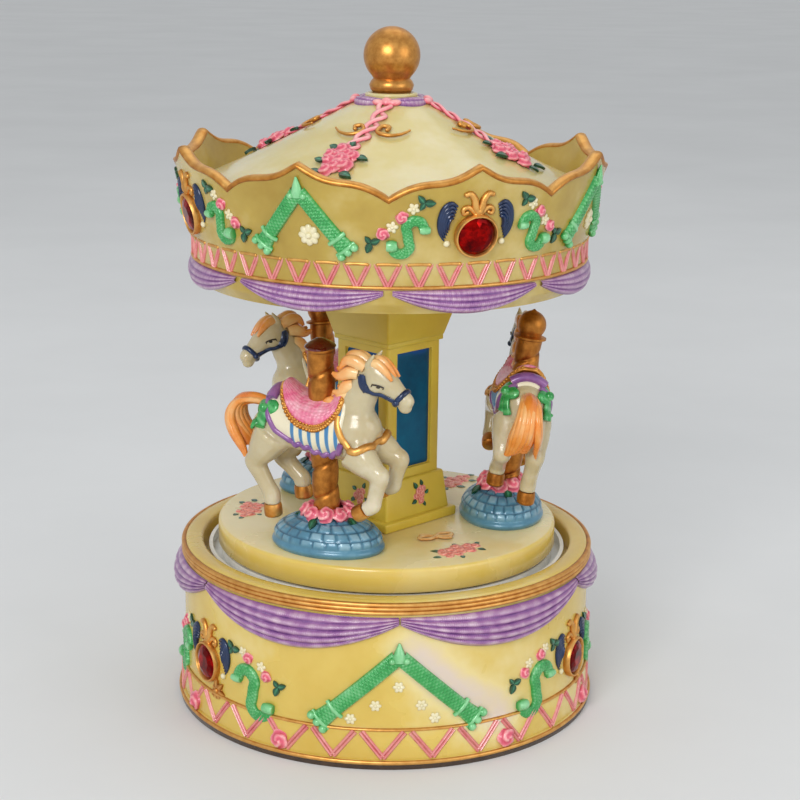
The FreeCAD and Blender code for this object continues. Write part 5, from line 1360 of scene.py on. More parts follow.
@dataclass
class Canopy:
    """Canopy: scalloped cornice, cone roof, drapes, ribbons, settings, garlands and ball finial."""

    bottom: float = 105.0
    seat: float = 107.0
    lip: float = 45.6
    band_foot: float = 107.6
    band_top: float = 114.6
    foot_radius: float = 47.2
    top_radius: float = 52.0
    thick: float = 2.6
    valley: float = 130.6
    peak: float = 137.6
    ogee: float = 0.12
    eave: Pair = (46.6, 128.2)
    crown: Pair = (6.0, 148.6)
    sag: float = 0.7
    lobes: int = 8
    turn: float = 22.5
    bouquet: Pair = (-22.0, 28.5)
    twist: float = 15.0
    collar: float = 8.2
    bars: int = 44
    lattice: Pair = (111.0, 116.7)
    lines: Pair = (111.2, 116.4)
    drape_height: float = 110.0
    peak_ribbon: tuple[float, ...] = (132.2, 119.4, 10.0, 3.5)
    flower_height: float = 122.4
    jewel_height: float = 122.8
    jewel_radius: float = 4.3
    curl: tuple[float, ...] = (17.6, 122.6, 7.6, 2.4)
    garland: tuple[Pair, ...] = (
        (13.8, 130.2), (16.4, 128.9), (19.2, 127.0), (21.6, 124.8), (23.9, 123.3), (27.0, 121.3))

    def edge(self, azimuth: float) -> float:
        """Height of the scalloped edge at an angle in degrees from the front."""
        share = abs(((azimuth - self.turn) * self.lobes / 180 + 1) % 2 - 1)
        return self.valley + (self.peak - self.valley) * (1 - share - self.ogee * sin(tau * share))

    def radius(self, height: float) -> float:
        """Outer radius of the cornice at a height."""
        share = (height - self.band_top) / (self.peak - self.band_top)
        return self.foot_radius + (self.top_radius - self.foot_radius) * max(share, 0)

    def roof_height(self, radius: float) -> float:
        """Height of the roof at a radius."""
        share = (self.eave[0] - radius) / (self.eave[0] - self.crown[0])
        return self.eave[1] + (self.crown[1] - self.eave[1]) * share - 4 * self.sag * share * (1 - share)

    def cornice(self) -> None:
        """Makes the cornice wall, which rises in lobes, with the underside of the canopy."""
        rises = [self.band_top + (self.peak - self.band_top) * step / 10 for step in range(11)]
        outer = [(0, self.seat), (self.lip - self.thick, self.seat),
                 (self.lip - self.thick, self.bottom + 0.3), (self.lip - 1.4, self.bottom),
                 (self.lip - 0.3, self.bottom + 0.1),
                 (self.lip, self.bottom + 0.6), (self.foot_radius - 0.5, self.band_foot - 0.6),
                 (self.foot_radius, self.band_foot + 0.2),
                 (self.foot_radius, (self.band_foot + self.band_top) / 2)]
        outer += [(self.radius(z), z) for z in rises]
        inner = [(self.radius(z) - self.thick, z) for z in rises[::-1] if z > self.eave[1] - 4]
        form = lathe(outer + inner, 256, False)

        def rise(co: Vector) -> Vector:
            """Lowers the wall under the scalloped edge."""
            if co.z <= self.band_top + 0.01:
                return co
            share = (co.z - self.band_top) / (self.peak - self.band_top)
            azimuth = degrees(atan2(co.x, -co.y))
            height = self.band_top + (self.edge(azimuth) - self.band_top) * share
            inside = co.xy.length < self.radius(co.z) - self.thick / 2
            return at(azimuth, self.radius(height) - (self.thick if inside else 0), height)

        cornice = form.shaped(rise).piece("canopy_cornice", Finishes.WAX, crease=50)
        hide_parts("canopy")

    def roof(self) -> None:
        """Makes the cone roof and the swagged collar under the finial."""
        start = self.eave[0] + 2.4
        radii = [start - (start - self.crown[0]) * step / 24 for step in range(25)]
        profile = [(r, self.roof_height(r)) for r in radii] + [(0, self.crown[1])]
        lathe(profile, ROUND, False).piece("canopy_roof", Finishes.ROOF, crease=50)
        wall = Wall((self.collar, self.roof_height(self.collar)), self.crown)
        swag = drape_form(pi * self.collar / 4 - 0.4, 1.5, 1.9, 1.6, 1.2, 3)
        places = wall.around(4, self.roof_height(self.collar - 0.4), self.bouquet[0] + self.twist + 45)
        Form().add(swag, *places).piece("canopy_collar", Finishes.LILAC)
        ring = hoop(self.crown[0] - 0.4, self.crown[1] + 0.2, 0.7, 0.55, 64)
        ring.piece("canopy_seat", Finishes.ROOF)

    def rim(self) -> None:
        """Makes the gold edge that follows the scallops."""
        steps = 36 * self.lobes
        path = []
        for index in range(steps):
            azimuth = self.turn + 360 * index / steps
            height = self.edge(azimuth)
            path.append(at(azimuth, self.radius(height) - self.thick / 2 + 0.1, height - 0.1))
        form = sweep(path, [(1.55, 0.85)] * steps, sides=12, closed=True)
        form.piece("canopy_edge", Finishes.GILT, "gold_paint")

    def trim(self) -> None:
        """Makes the painted relief of the cornice."""
        trim = Trim(Wall((self.foot_radius, self.band_top), (self.top_radius, self.peak)))
        foot = Wall((self.foot_radius, self.band_foot), (self.foot_radius, self.band_top))
        half = 0.66 * pi * self.foot_radius / self.bars
        dash = stem_form([(-half, -0.05), (0, 0.05), (half, -0.05)], 0.42, 0.42, 4)
        trim.gold.add(dash, *foot.around(self.bars, self.lines[1]))
        trim.gold.add(hoop(self.foot_radius + 0.1, self.lines[0], 0.45, 0.4, ROUND))
        Trim(foot, pink=trim.pink).zigzag(self.bars, *self.lattice, 1.2, 1.2)
        drape = drape_form(pi * self.foot_radius / self.lobes - 1.0, 0.7, 4.8, 1.2, 1.6, 4)
        trim.lilac.add(drape, *foot.around(self.lobes, self.drape_height, self.turn))
        for index in range(self.lobes):
            azimuth = self.turn + index * 360 / self.lobes
            if index % 2:
                trim.peak(azimuth, *self.peak_ribbon)
                place = trim.wall.place(azimuth + 2.0, self.flower_height)
                trim.spray.blossoms.add(blossom_form(2.3, 8), place)
            else:
                trim.setting(azimuth, self.jewel_height, self.jewel_radius, False)
                trim.flank(azimuth, self.curl, self.garland)
        trim.dress("canopy", "carousel")

    def ribbon(self, azimuth: float) -> Form:
        """Two strands that cross each other up the roof, from a bouquet to the collar.

        Args:
            azimuth: Angle of the bouquet.

        Returns:
            The strands with the knot at their top.
        """
        form, steps = Form(), 40
        for phase in (0.0, 0.5):
            path, faces = [], []
            for step in range(steps + 1):
                share = step / steps
                radius = self.bouquet[1] - 1.5 + (self.collar - self.bouquet[1] + 1.5) * share
                wave = tau * (2.5 * share + phase)
                drift = self.twist * share + degrees(1.4 * sin(wave) / radius)
                lift = 0.55 + 0.4 * cos(wave)
                path.append(at(azimuth + drift, radius, self.roof_height(radius) + lift))
                faces.append(at(azimuth + drift, 0.5, 0.87))
            form.add(sweep(path, [(0.62, 0.42)] * (steps + 1), faces))
        knot = Wall(self.eave, self.crown).place(azimuth + self.twist, self.roof_height(self.collar))
        form.add(ball(1.25, (1, 1, 0.75), 3), onto(knot, 0, 0, 0.5))
        loop = ball(1.2, (1.25, 0.75, 0.6), 3)
        return form.add(loop, onto(knot, -1.9, -0.4, 0.5), onto(knot, 1.9, -0.4, 0.5))

    def garlands(self) -> None:
        """Makes the rose bunches, twisted ribbons and gold scrolls of the roof."""
        wall = Wall(self.eave, self.crown)
        spray, ribbons, gold = Spray(), Form(), Form()
        middle = self.roof_height(18.0)
        for index in range(4):
            azimuth = self.bouquet[0] + 90 * index

            def put(x: float, y: float, lean: float, scale: float, angle: float = azimuth) -> Place:
                """Map of one flower or leaf on the roof."""
                height = self.roof_height(self.bouquet[1] + 0.5) + 0.45 * y
                return wall.place(angle + 2.0 * x, height, lean, scale)

            spray.bunch(put, 10, 1.8, (3.2, 5.4), 6, 40 + index)
            ribbons.add(self.ribbon(azimuth))
            for hand in (-1, 1):
                gold.add(volute_form(hand), wall.place(azimuth + self.twist * 0.54, middle))
        spray.dress("roof")
        ribbons.piece("roof_ribbons", Finishes.ROSE)
        gold.piece("roof_scrolls", Finishes.GILT, "gold_paint")

    def finial(self) -> None:
        """Makes the gold ball on its turned neck."""
        foot, radius, neck = 149.35, 6.7, 4.24
        low = -acos(neck / radius)
        centre = foot + 3.4 - radius * sin(low)
        profile = [(0, foot - 0.4), (neck, foot - 0.2), (5.0, foot + 0.6), (5.3, foot + 1.7),
                   (4.9, foot + 2.6), (4.35, foot + 3.2)]
        for step in range(1, 25):
            turn = low + (pi / 2 - low) * step / 24
            profile.append((radius * cos(turn) if step < 24 else 0, centre + radius * sin(turn)))
        form = lathe(profile, 72, False).painted(lambda co: 0.75 + 0.02 * (co.z - centre))
        finial = form.piece("finial_ball", Finishes.FINIAL, "gold_paint", crease=50)
        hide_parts("finial")

    def dress(self) -> None:
        """Builds the canopy."""
        self.cornice()
        self.roof()
        self.rim()
        self.trim()
        self.garlands()
        self.finial()


@dataclass
class Horse:
    """Galloping horse in its own frame: +X forward, +Z up from the disc, the pole on the Z axis."""

    trunk: tuple[Station, ...] = (
        (-16.0, 0, 32.0, 1.6, 1.6), (-14.6, 0, 31.7, 4.3, 4.6), (-11.0, 0, 31.0, 5.9, 6.6),
        (-4.0, 0, 30.0, 6.0, 6.4), (3.0, 0, 29.8, 6.0, 6.7), (9.0, 0, 29.8, 5.8, 7.1),
        (12.2, 0, 29.2, 4.6, 5.8), (14.2, 0, 28.6, 2.2, 3.0))
    neck: tuple[Station, ...] = (
        (5.6, 0, 31.0, 4.4, 6.0), (8.8, 0, 36.4, 3.6, 4.7), (11.5, 0, 41.2, 3.0, 3.7),
        (13.5, 0, 45.2, 2.3, 2.8))
    head: tuple[Station, ...] = (
        (12.4, 0, 46.4, 1.8, 2.0), (14.3, 0, 45.2, 2.8, 3.3), (17.5, 0, 42.6, 2.6, 3.1),
        (20.2, 0, 40.4, 2.0, 2.4), (22.2, 0, 38.9, 1.9, 2.1), (23.3, 0, 38.0, 1.2, 1.4))
    tail: tuple[Station, ...] = (
        (-14.6, 0, 34.0, 1.5, 1.6), (-18.4, 0, 34.6, 2.0, 1.8), (-22.2, 0, 33.6, 2.5, 2.1),
        (-24.2, 0, 30.2, 2.8, 2.4), (-22.9, 0, 26.2, 2.9, 2.4), (-20.8, 0, 22.8, 2.0, 1.7),
        (-20.0, 0, 20.9, 0.7, 0.6))
    legs: tuple[tuple, ...] = (
        ((10.0, 26.5), (17.0, 21.6), (14.9, 14.2), (11.4, 11.9), -3.9, 4.0),
        ((10.6, 27.0), (17.7, 23.2), (15.7, 16.4), (12.3, 14.8), 4.3, 4.0),
        ((-11.6, 28.0), (-16.9, 20.2), (-12.7, 12.6), (-12.5, 8.6), -3.8, 4.4),
        ((-10.0, 27.4), (-14.0, 19.6), (-8.8, 14.6), (-8.6, 11.2), 3.8, 4.4))
    mane: tuple[tuple[Pair, ...], ...] = (
        ((12.6, 47.0), (10.2, 48.3), (8.0, 48.2), (6.6, 46.4)),
        ((10.8, 45.2), (8.6, 45.4), (6.2, 44.4), (4.4, 45.0)),
        ((9.4, 42.4), (7.6, 41.9), (6.2, 40.4), (4.4, 40.6)),
        ((8.2, 40.6), (6.6, 39.6), (5.4, 38.3), (3.5, 39.0)),
        ((6.4, 38.4), (4.8, 37.4), (3.2, 38.0), (1.2, 37.0)))
    hem: tuple[Pair, ...] = (
        (-12.8, 0.5), (-11.3, 1.25), (-9.4, 1.72), (-5.6, 1.98), (-1.8, 2.06), (1.4, 2.28), (4.8, 2.3),
        (7.4, 2.0), (8.2, 1.7))
    ruffle: float = 2.3
    ruffle_start: float = -6.0
    skin: Form = field(init=False)
    tree: BVHTree = field(init=False)
    layers: dict = field(init=False)

    def __post_init__(self) -> None:
        """Models the horse's skin and what is laid on it."""
        self.skin = self.body()
        self.tree = BVHTree.FromBMesh(self.skin.bm)
        self.layers = {
            "body": (self.skin, Finishes.HORSE), "hair": (self.hair(), Finishes.PEACH),
            "saddle": (self.quilt(self.saddle_spot, 1.3, 44, 0.45), Finishes.SADDLE),
            "blanket": (self.quilt(self.blanket_spot, 0.45, 90, 1.0, self.ruffle_start), Finishes.BLANKET),
            "edging": (self.edging(), Finishes.LILAC), "gilding": (self.gilding(), Finishes.GILT),
            "bridle": (self.bridle(), Finishes.NAVY), "eyes": (self.eyes(), Finishes.LASH),
            "bow": (self.bow(), Finishes.GREEN)}

    @staticmethod
    def limb(stations: Sequence[Sequence[float]], sides: int = 16) -> Form:
        """Rounded limb through stations.

        Args:
            stations: Middle, side radius and upright radius of each station.
            sides: Sides of a section.

        Returns:
            The limb.
        """
        line = flow([Vector(station) for station in stations], 5)
        widths = [(max(spot[3], 0.15), max(spot[4], 0.15)) for spot in line]
        return sweep([Vector(spot[:3]) for spot in line], widths, side=SIDEWAYS, sides=sides)

    @staticmethod
    def leg(joints: Sequence) -> list[tuple]:
        """Stations of one leg from its hip to its fetlock.

        Args:
            joints: Hip, knee, ankle and hoof as (forward, height), then the side and the thigh's radius.

        Returns:
            Stations of the leg.
        """
        hip, knee, ankle, hoof, side, thigh = joints

        def between(a: Pair, b: Pair, share: float) -> Pair:
            """Point between two joints."""
            return a[0] + (b[0] - a[0]) * share, a[1] + (b[1] - a[1]) * share

        rows = ((hip, 0.8, 1.0, 1.2), (between(hip, knee, 0.5), 0.95, 0.76, 0.92),
                (between(hip, knee, 0.85), 1, 0.58, 0.64), (knee, 1, 0.55, 0.59),
                (between(knee, ankle, 0.4), 1, 0.46, 0.5), (between(knee, ankle, 0.8), 1, 0.44, 0.47),
                (ankle, 1, 0.47, 0.49), (between(ankle, hoof, 0.55), 1, 0.46, 0.46))
        return [(spot[0], side * s, spot[1], thigh * w, thigh * h) for spot, s, w, h in rows]

    def body(self) -> Form:
        """Fuses the limbs into one smooth skin.

        Returns:
            The skin.
        """
        form = Form()
        for stations in (self.trunk, self.neck, self.head):
            form.add(self.limb(stations))
        for joints in self.legs:
            form.add(self.limb(self.leg(joints), 12))
        for hand in (-1, 1):
            ear = ((13.2, hand * 1.5, 46.6, 1.1, 1.0), (14.0, hand * 1.7, 48.0, 1.0, 0.8),
                   (15.4, hand * 1.9, 50.0, 0.3, 0.3))
            form.add(self.limb(ear, 10))
            form.add(ball(2.6, (1.0, 0.55, 1.05), 3), laid(15.2, hand * 1.6, 43.0))
            form.add(ball(4.4, (1.0, 0.62, 1.15), 3), laid(-11.0, hand * 2.6, 30.0))
            form.add(ball(4.0, (1.0, 0.6, 1.2), 3), laid(9.6, hand * 2.8, 28.8))
        form.add(ball(1.4, (1.1, 1.1, 0.8), 3), laid(21.9, 0, 37.4))
        raw = shown("raw", form.mesh("raw"))
        remesh = raw.modifiers.new("skin", "REMESH")
        remesh.mode = "VOXEL"
        remesh.voxel_size = 0.36
        mesh = bpy.data.meshes.new_from_object(raw.evaluated_get(bpy.context.evaluated_depsgraph_get()))
        bpy.data.objects.remove(raw)
        skin = Form()
        skin.bm.from_mesh(mesh)
        layers = skin.bm.verts.layers
        skin.relief = layers.float.get("relief") or layers.float.new("relief")
        skin.cloth = layers.float_vector.get("cloth") or layers.float_vector.new("cloth")
        skin.smooth(5, skin.bm.verts)
        skin.smooth(24, [vert for vert in skin.bm.verts if 25 < vert.co.z < 39 and abs(vert.co.x) < 14])
        return skin

    def press(self, point: Vector, lift: float) -> tuple[Vector, Vector]:
        """Point of the skin that is nearest to a point, lifted off it, and the skin's normal there."""
        spot, normal, _, _ = self.tree.find_nearest(point)
        return spot + normal * lift, normal

    def strap(self, points: Sequence[Sequence[float]], width: float, stand: float, steps: int = 5,
              lift: float = 0.4, sides: int = 8) -> Form:
        """Strap that follows the skin through points near it.

        Args:
            points: Points near the skin; a first point that is repeated last closes the strap.
            width: Half width of the strap.
            stand: Half thickness of the strap.
            steps: Steps between each pair of points.
            lift: Height of its middle above the skin, as a share of its half thickness.
            sides: Sides of its section.

        Returns:
            The strap.
        """
        line = flow([Vector(point) for point in points], steps)
        path, faces = zip(*(self.press(point, stand * lift) for point in line))
        closed = (path[0] - path[-1]).length < 0.01
        if closed:
            path, faces = path[:-1], faces[:-1]
        return sweep(path, [(width, stand)] * len(path), faces, sides=sides, closed=closed)

    def over(self, x: float, turn: float, lift: float) -> Vector:
        """Point above the trunk.

        Args:
            x: Place along the back.
            turn: Angle from the top, in radians, to the right side.
            lift: Height above the trunk.

        Returns:
            The point.
        """
        _, _, height, side, upright = row_at(self.trunk, x)
        centre = Vector((x, 0, height))
        way = Vector((0, -sin(turn), cos(turn)))
        reach = 1 / hypot(way.y / side, way.z / upright)
        spot, _, _, _ = self.tree.ray_cast(centre, way)
        if spot:
            reach = max(reach, min((spot - centre).length, reach + 1.5))
        return centre + way * (reach + lift)

    @staticmethod
    def quilt(over: Callable[[float, float, float], Vector], puff: float, columns: int, weave: float,
              start: float = -inf) -> Form:
        """Closed padded cloth.

        Args:
            over: Point for a place along and across from -1 to 1 and a lift.
            puff: Height of the padding.
            columns: Steps along.
            weave: Scale of the cloth coordinates.
            start: Place along the back from which the pattern runs on.

        Returns:
            The cloth, with its place along and across as cloth coordinates.
        """
        form = Form()
        for vert in form.grid(columns, 44):
            vert[form.cloth] = vert.co
        upper = form.shell()
        for vert in form.bm.verts:
            u, v, _ = vert[form.cloth]
            edge = min(1.0, 5 * min(1 - abs(u), 1 - abs(v)))
            vert.co = over(u, v, 0.1 + puff * edge ** 0.5 if vert in upper else -0.7)
            vert[form.cloth] = Vector((max(vert.co.x, start), 11 * v, 0)) * weave
            # Painted shade along the border of the cloth, lighter on the padded middle; it shows on the
            # saddle.
            vert[form.relief] = 0.3 + 0.5 * edge
        return form.close()

    def saddle_spot(self, u: float, v: float, lift: float) -> Vector:
        """Point of the saddle, whose hem is a U at each side and whose back rises to a cantle.

        Args:
            u: Place along, from -1 at the cantle to 1 at the pommel.
            v: Place across, from -1 to 1.
            lift: Height above the back.

        Returns:
            The point.
        """
        turn = pi * (u + 1) / 2
        reach = -cos(turn)
        x = 0.4 + reach * (9.8 if reach < 0 else 6.9)
        spot = self.over(x, v * 1.27 * max(sin(turn), 0.14), lift)
        rise = 2.2 * clamp((-x - 3.2) / 5.6) ** 1.3 + 0.4 * clamp((x - 3.8) / 3.2) ** 1.3
        if lift > 0:
            spot.z += rise * max(0.0, 1 - (spot.y / 6.4) ** 2)
        return spot

    def blanket_spot(self, u: float, v: float, lift: float) -> Vector:
        """Point of the blanket, whose front part hangs in ruffles.

        Args:
            u: Place along, from -1 at the rump to 1 at the shoulder.
            v: Place across, from -1 to 1.
            lift: Height above the back.

        Returns:
            The point.
        """
        start, end = self.hem[0][0], self.hem[-1][0]
        x = start + (end - start) * (u + 1) / 2
        _, low = row_at(self.hem, x)
        if x > self.ruffle_start:
            low += 0.09 * abs(cos(pi * x / self.ruffle))
            lift += 0.28 * sin(tau * x / self.ruffle) * v * v
        return self.over(x, v * low, lift)

    @staticmethod
    def band(points: Sequence[Vector], width: float, stand: float, closed: bool = False) -> Form:
        """Rolled band along points round the trunk, by its half width and half height."""
        faces = [Vector((0, point.y, point.z - 29.0)) for point in points]
        return sweep(points, [(width, stand)] * len(points), faces, sides=10, closed=closed)

    def edging(self) -> Form:
        """Rolled purple edge of the blanket and the purple roll behind the saddle.

        Returns:
            The edging.
        """
        form = Form()
        for hand in (-1, 1):
            points = [self.blanket_spot(-1 + 2 * step / 60, hand, 0.25) for step in range(61)]
            form.add(self.band(points, 0.75, 0.7))
        roll = [self.over(-11.3, 0.62 * step / 10, 0.7) for step in range(-10, 11)]
        form.add(self.band(roll, 1.5, 1.25))
        return form.painted(lambda co: 0.22 + 0.05 * sin(2.2 * co.x))

    def gilding(self) -> Form:
        """Hooves, the saddle's beaded trim and the breast collar.

        Returns:
            The gilded pieces.
        """
        form, bead = Form(), ball(0.52)
        for _, _, ankle, hoof, side, thigh in self.legs:
            foot, start = Vector((hoof[0], side, hoof[1])), Vector((ankle[0], side, ankle[1]))
            way = (foot - start).normalized()
            rows = ((-1.8, 0.46), (-0.9, 0.5), (0.3, 0.5), (1.1, 0.48), (1.5, 0.36))
            form.add(self.limb([(*(foot + way * t), thigh * r, thigh * r) for t, r in rows], 14))
        marks = [-1 + 2 * step / 36 for step in range(37)]
        loop = [self.saddle_spot(u, 1, 0.35) for u in marks]
        loop += [self.saddle_spot(u, -1, 0.35) for u in marks[::-1]]
        form.add(self.band(loop, 0.72, 0.62, True))
        for hand in (-1, 1):
            for u in marks[2:-2]:
                form.add(bead, laid(*self.saddle_spot(u, 1.07 * hand, 0.75)),
                         laid(*self.saddle_spot(u, 0.95 * hand, 0.95), 0, 0.7))
        half = ((6.6, -5.6, 35.6), (7.4, -6.6, 32.2), (9.2, -7.0, 29.0), (11.4, -5.8, 27.4),
                (13.4, -3.4, 27.6))
        mirrored = [(x, -y, z) for x, y, z in half[::-1]]
        return form.add(self.strap([*half, (14.6, 0, 28.4), *mirrored], 0.9, 0.5))

    def bridle(self) -> Form:
        """Navy noseband and cheek straps.

        Returns:
            The bridle.
        """
        form = Form()
        centre, along = Vector((20.9, 0, 39.7)), Vector((0.76, 0, -0.65))
        top = along.cross(SIDEWAYS).normalized()
        turns = [tau * step / 16 for step in range(17)]
        ring = [centre + (top * cos(turn) + SIDEWAYS * sin(turn)) * 2.8 for turn in turns]
        form.add(self.strap(ring, 0.62, 0.4, 2))
        for hand in (-1, 1):
            cheek = ((11.9, 3.0, 45.2), (12.5, 3.4, 43.2), (13.4, 3.3, 41.4), (15.2, 2.9, 40.4),
                     (17.6, 2.6, 39.9), (20.3, 2.2, 39.2))
            form.add(self.strap([(x, hand * y, z) for x, y, z in cheek], 0.62, 0.4))
            patch = ((12.0, 3.0, 44.8), (12.6, 3.4, 42.9), (13.6, 3.2, 41.2))
            form.add(self.strap([(x, hand * y, z) for x, y, z in patch], 1.05, 0.42))
            stud, _ = self.press(Vector((20.6, hand * 2.3, 39.2)), 0.3)
            form.add(ball(0.8), laid(*stud))
        return form.painted(lambda co: 0.3 + 0.1 * sin(3 * co.x))

    def eyes(self) -> Form:
        """Half closed painted eyes with their lashes.

        Returns:
            The painted lines.
        """
        form = Form()
        for hand in (-1, 1):
            arc = []
            for t in (-1.4, -0.7, 0, 0.7, 1.4):
                arc.append((16.5 + t, hand * 2.9, 42.8 - 0.2 * t + 0.2 * (1 - (t / 1.4) ** 2)))
            form.add(self.strap(arc, 0.2, 0.2, 4))
            for x, _, z in arc[::2]:
                form.add(self.strap([(x, hand * 2.9, z), (x - 0.25, hand * 2.9, z - 0.45)], 0.11, 0.16, 4))
            pupil, _ = self.press(Vector((16.5, hand * 2.9, 42.55)), -0.2)
            form.add(ball(0.48, (1.3, 0.8, 0.8)), laid(*pupil))
        return form

    def bow(self) -> Form:
        """Green ribbon bows at both sides of the rump.

        Returns:
            The bows.
        """
        form = Form()
        ribbons = (
            ((-12.6, 4.8, 34.8), (-11.0, 5.4, 36.2), (-9.9, 5.6, 35.4), (-11.2, 5.8, 34.4)),
            ((-12.8, 4.8, 34.8), (-14.4, 4.2, 35.6), (-15.2, 3.6, 34.8), (-14.2, 4.2, 34.0)),
            ((-12.8, 5.2, 34.4), (-14.0, 5.2, 32.8), (-14.8, 5.0, 31.0), (-15.8, 4.8, 29.2)),
            ((-12.8, 5.2, 34.4), (-12.8, 5.8, 32.8), (-13.4, 6.0, 31.2), (-13.6, 6.2, 29.8)))
        for hand in (-1, 1):
            for ribbon in ribbons:
                points = [(x, hand * y, z) for x, y, z in ribbon]
                form.add(self.strap(points, 1.2, 0.55, lift=0.45 / 0.55, sides=10))
            form.add(ball(1.2, detail=3), laid(-12.8, 5.3 * hand, 34.6))
        return form.painted(lambda co: 0.45 + 0.25 * sin(2.6 * co.z + 1.3 * co.x))

    def lock(self, points: Sequence[Pair], side: float, radius: float) -> Form:
        """One lock of hair that is cream at its root.

        Args:
            points: Points forward and up, from the root to the tip.
            side: Distance from the middle.
            radius: Radius at the root.

        Returns:
            The lock.
        """
        sizes = (0.95, 1.1, 0.8, 0.3)
        spread = (0.9, 1.1, 1.25, 1.35)
        drop = 0.35 * abs(side)
        rows = []
        for (x, z), size, reach in zip(points, sizes, spread):
            rows.append((x, side * reach, z - drop, radius * size * 0.8, radius * size))
        form = self.limb(rows, 10)
        root, tip = Vector(rows[0][:3]), Vector(rows[-1][:3])
        length = (tip - root).length
        return form.painted(lambda co: max(0.5, 1.3 - 0.8 * (co - root).length / length))

    def hair(self) -> Form:
        """Wavy mane, forelock and curved tail, as locks.

        Returns:
            The hair.
        """
        form = Form()
        for points in self.mane:
            for side in (-1.75, 0.0, 1.75):
                form.add(self.lock(points, side, 1.4))
        forelock = ((13.4, 47.6), (15.6, 48.0), (17.8, 46.6), (19.6, 44.6))
        for side in (-1.3, 0.0, 1.3):
            form.add(self.lock(forelock, side, 1.15))
        spine = flow([Vector(station) for station in self.tail], 3)
        last = len(spine) - 1
        for index in range(14):
            rows = []
            for step, spot in enumerate(spine):
                spin = tau * index / 14 + 0.05 * step
                swing = (-3.0 if index in (8, 9, 10) else 3.4) * (step / last) ** 3
                side = 0.78 * spot[3] * sin(spin) + swing
                middle = (spot[0] + 0.66 * spot[4] * cos(spin), side, spot[2] + 0.2 * cos(spin))
                rows.append((*middle, max(0.22, spot[3] * 0.3), max(0.22, spot[4] * 0.34)))
            strand = self.limb(rows[::2] + rows[last % 2 - 1:], 8)
            form.add(strand.painted(lambda co, i=index: 0.55 + 0.018 * (co.z - 30) + 0.12 * (i % 2)))
        core = self.limb([(x, y, z, side * 0.8, tall * 0.8) for x, y, z, side, tall in self.tail[:-1]], 10)
        # The core is painted darker than the strands, as painted shade in the gaps between them.
        return form.add(core.painted(lambda co: 0.3))


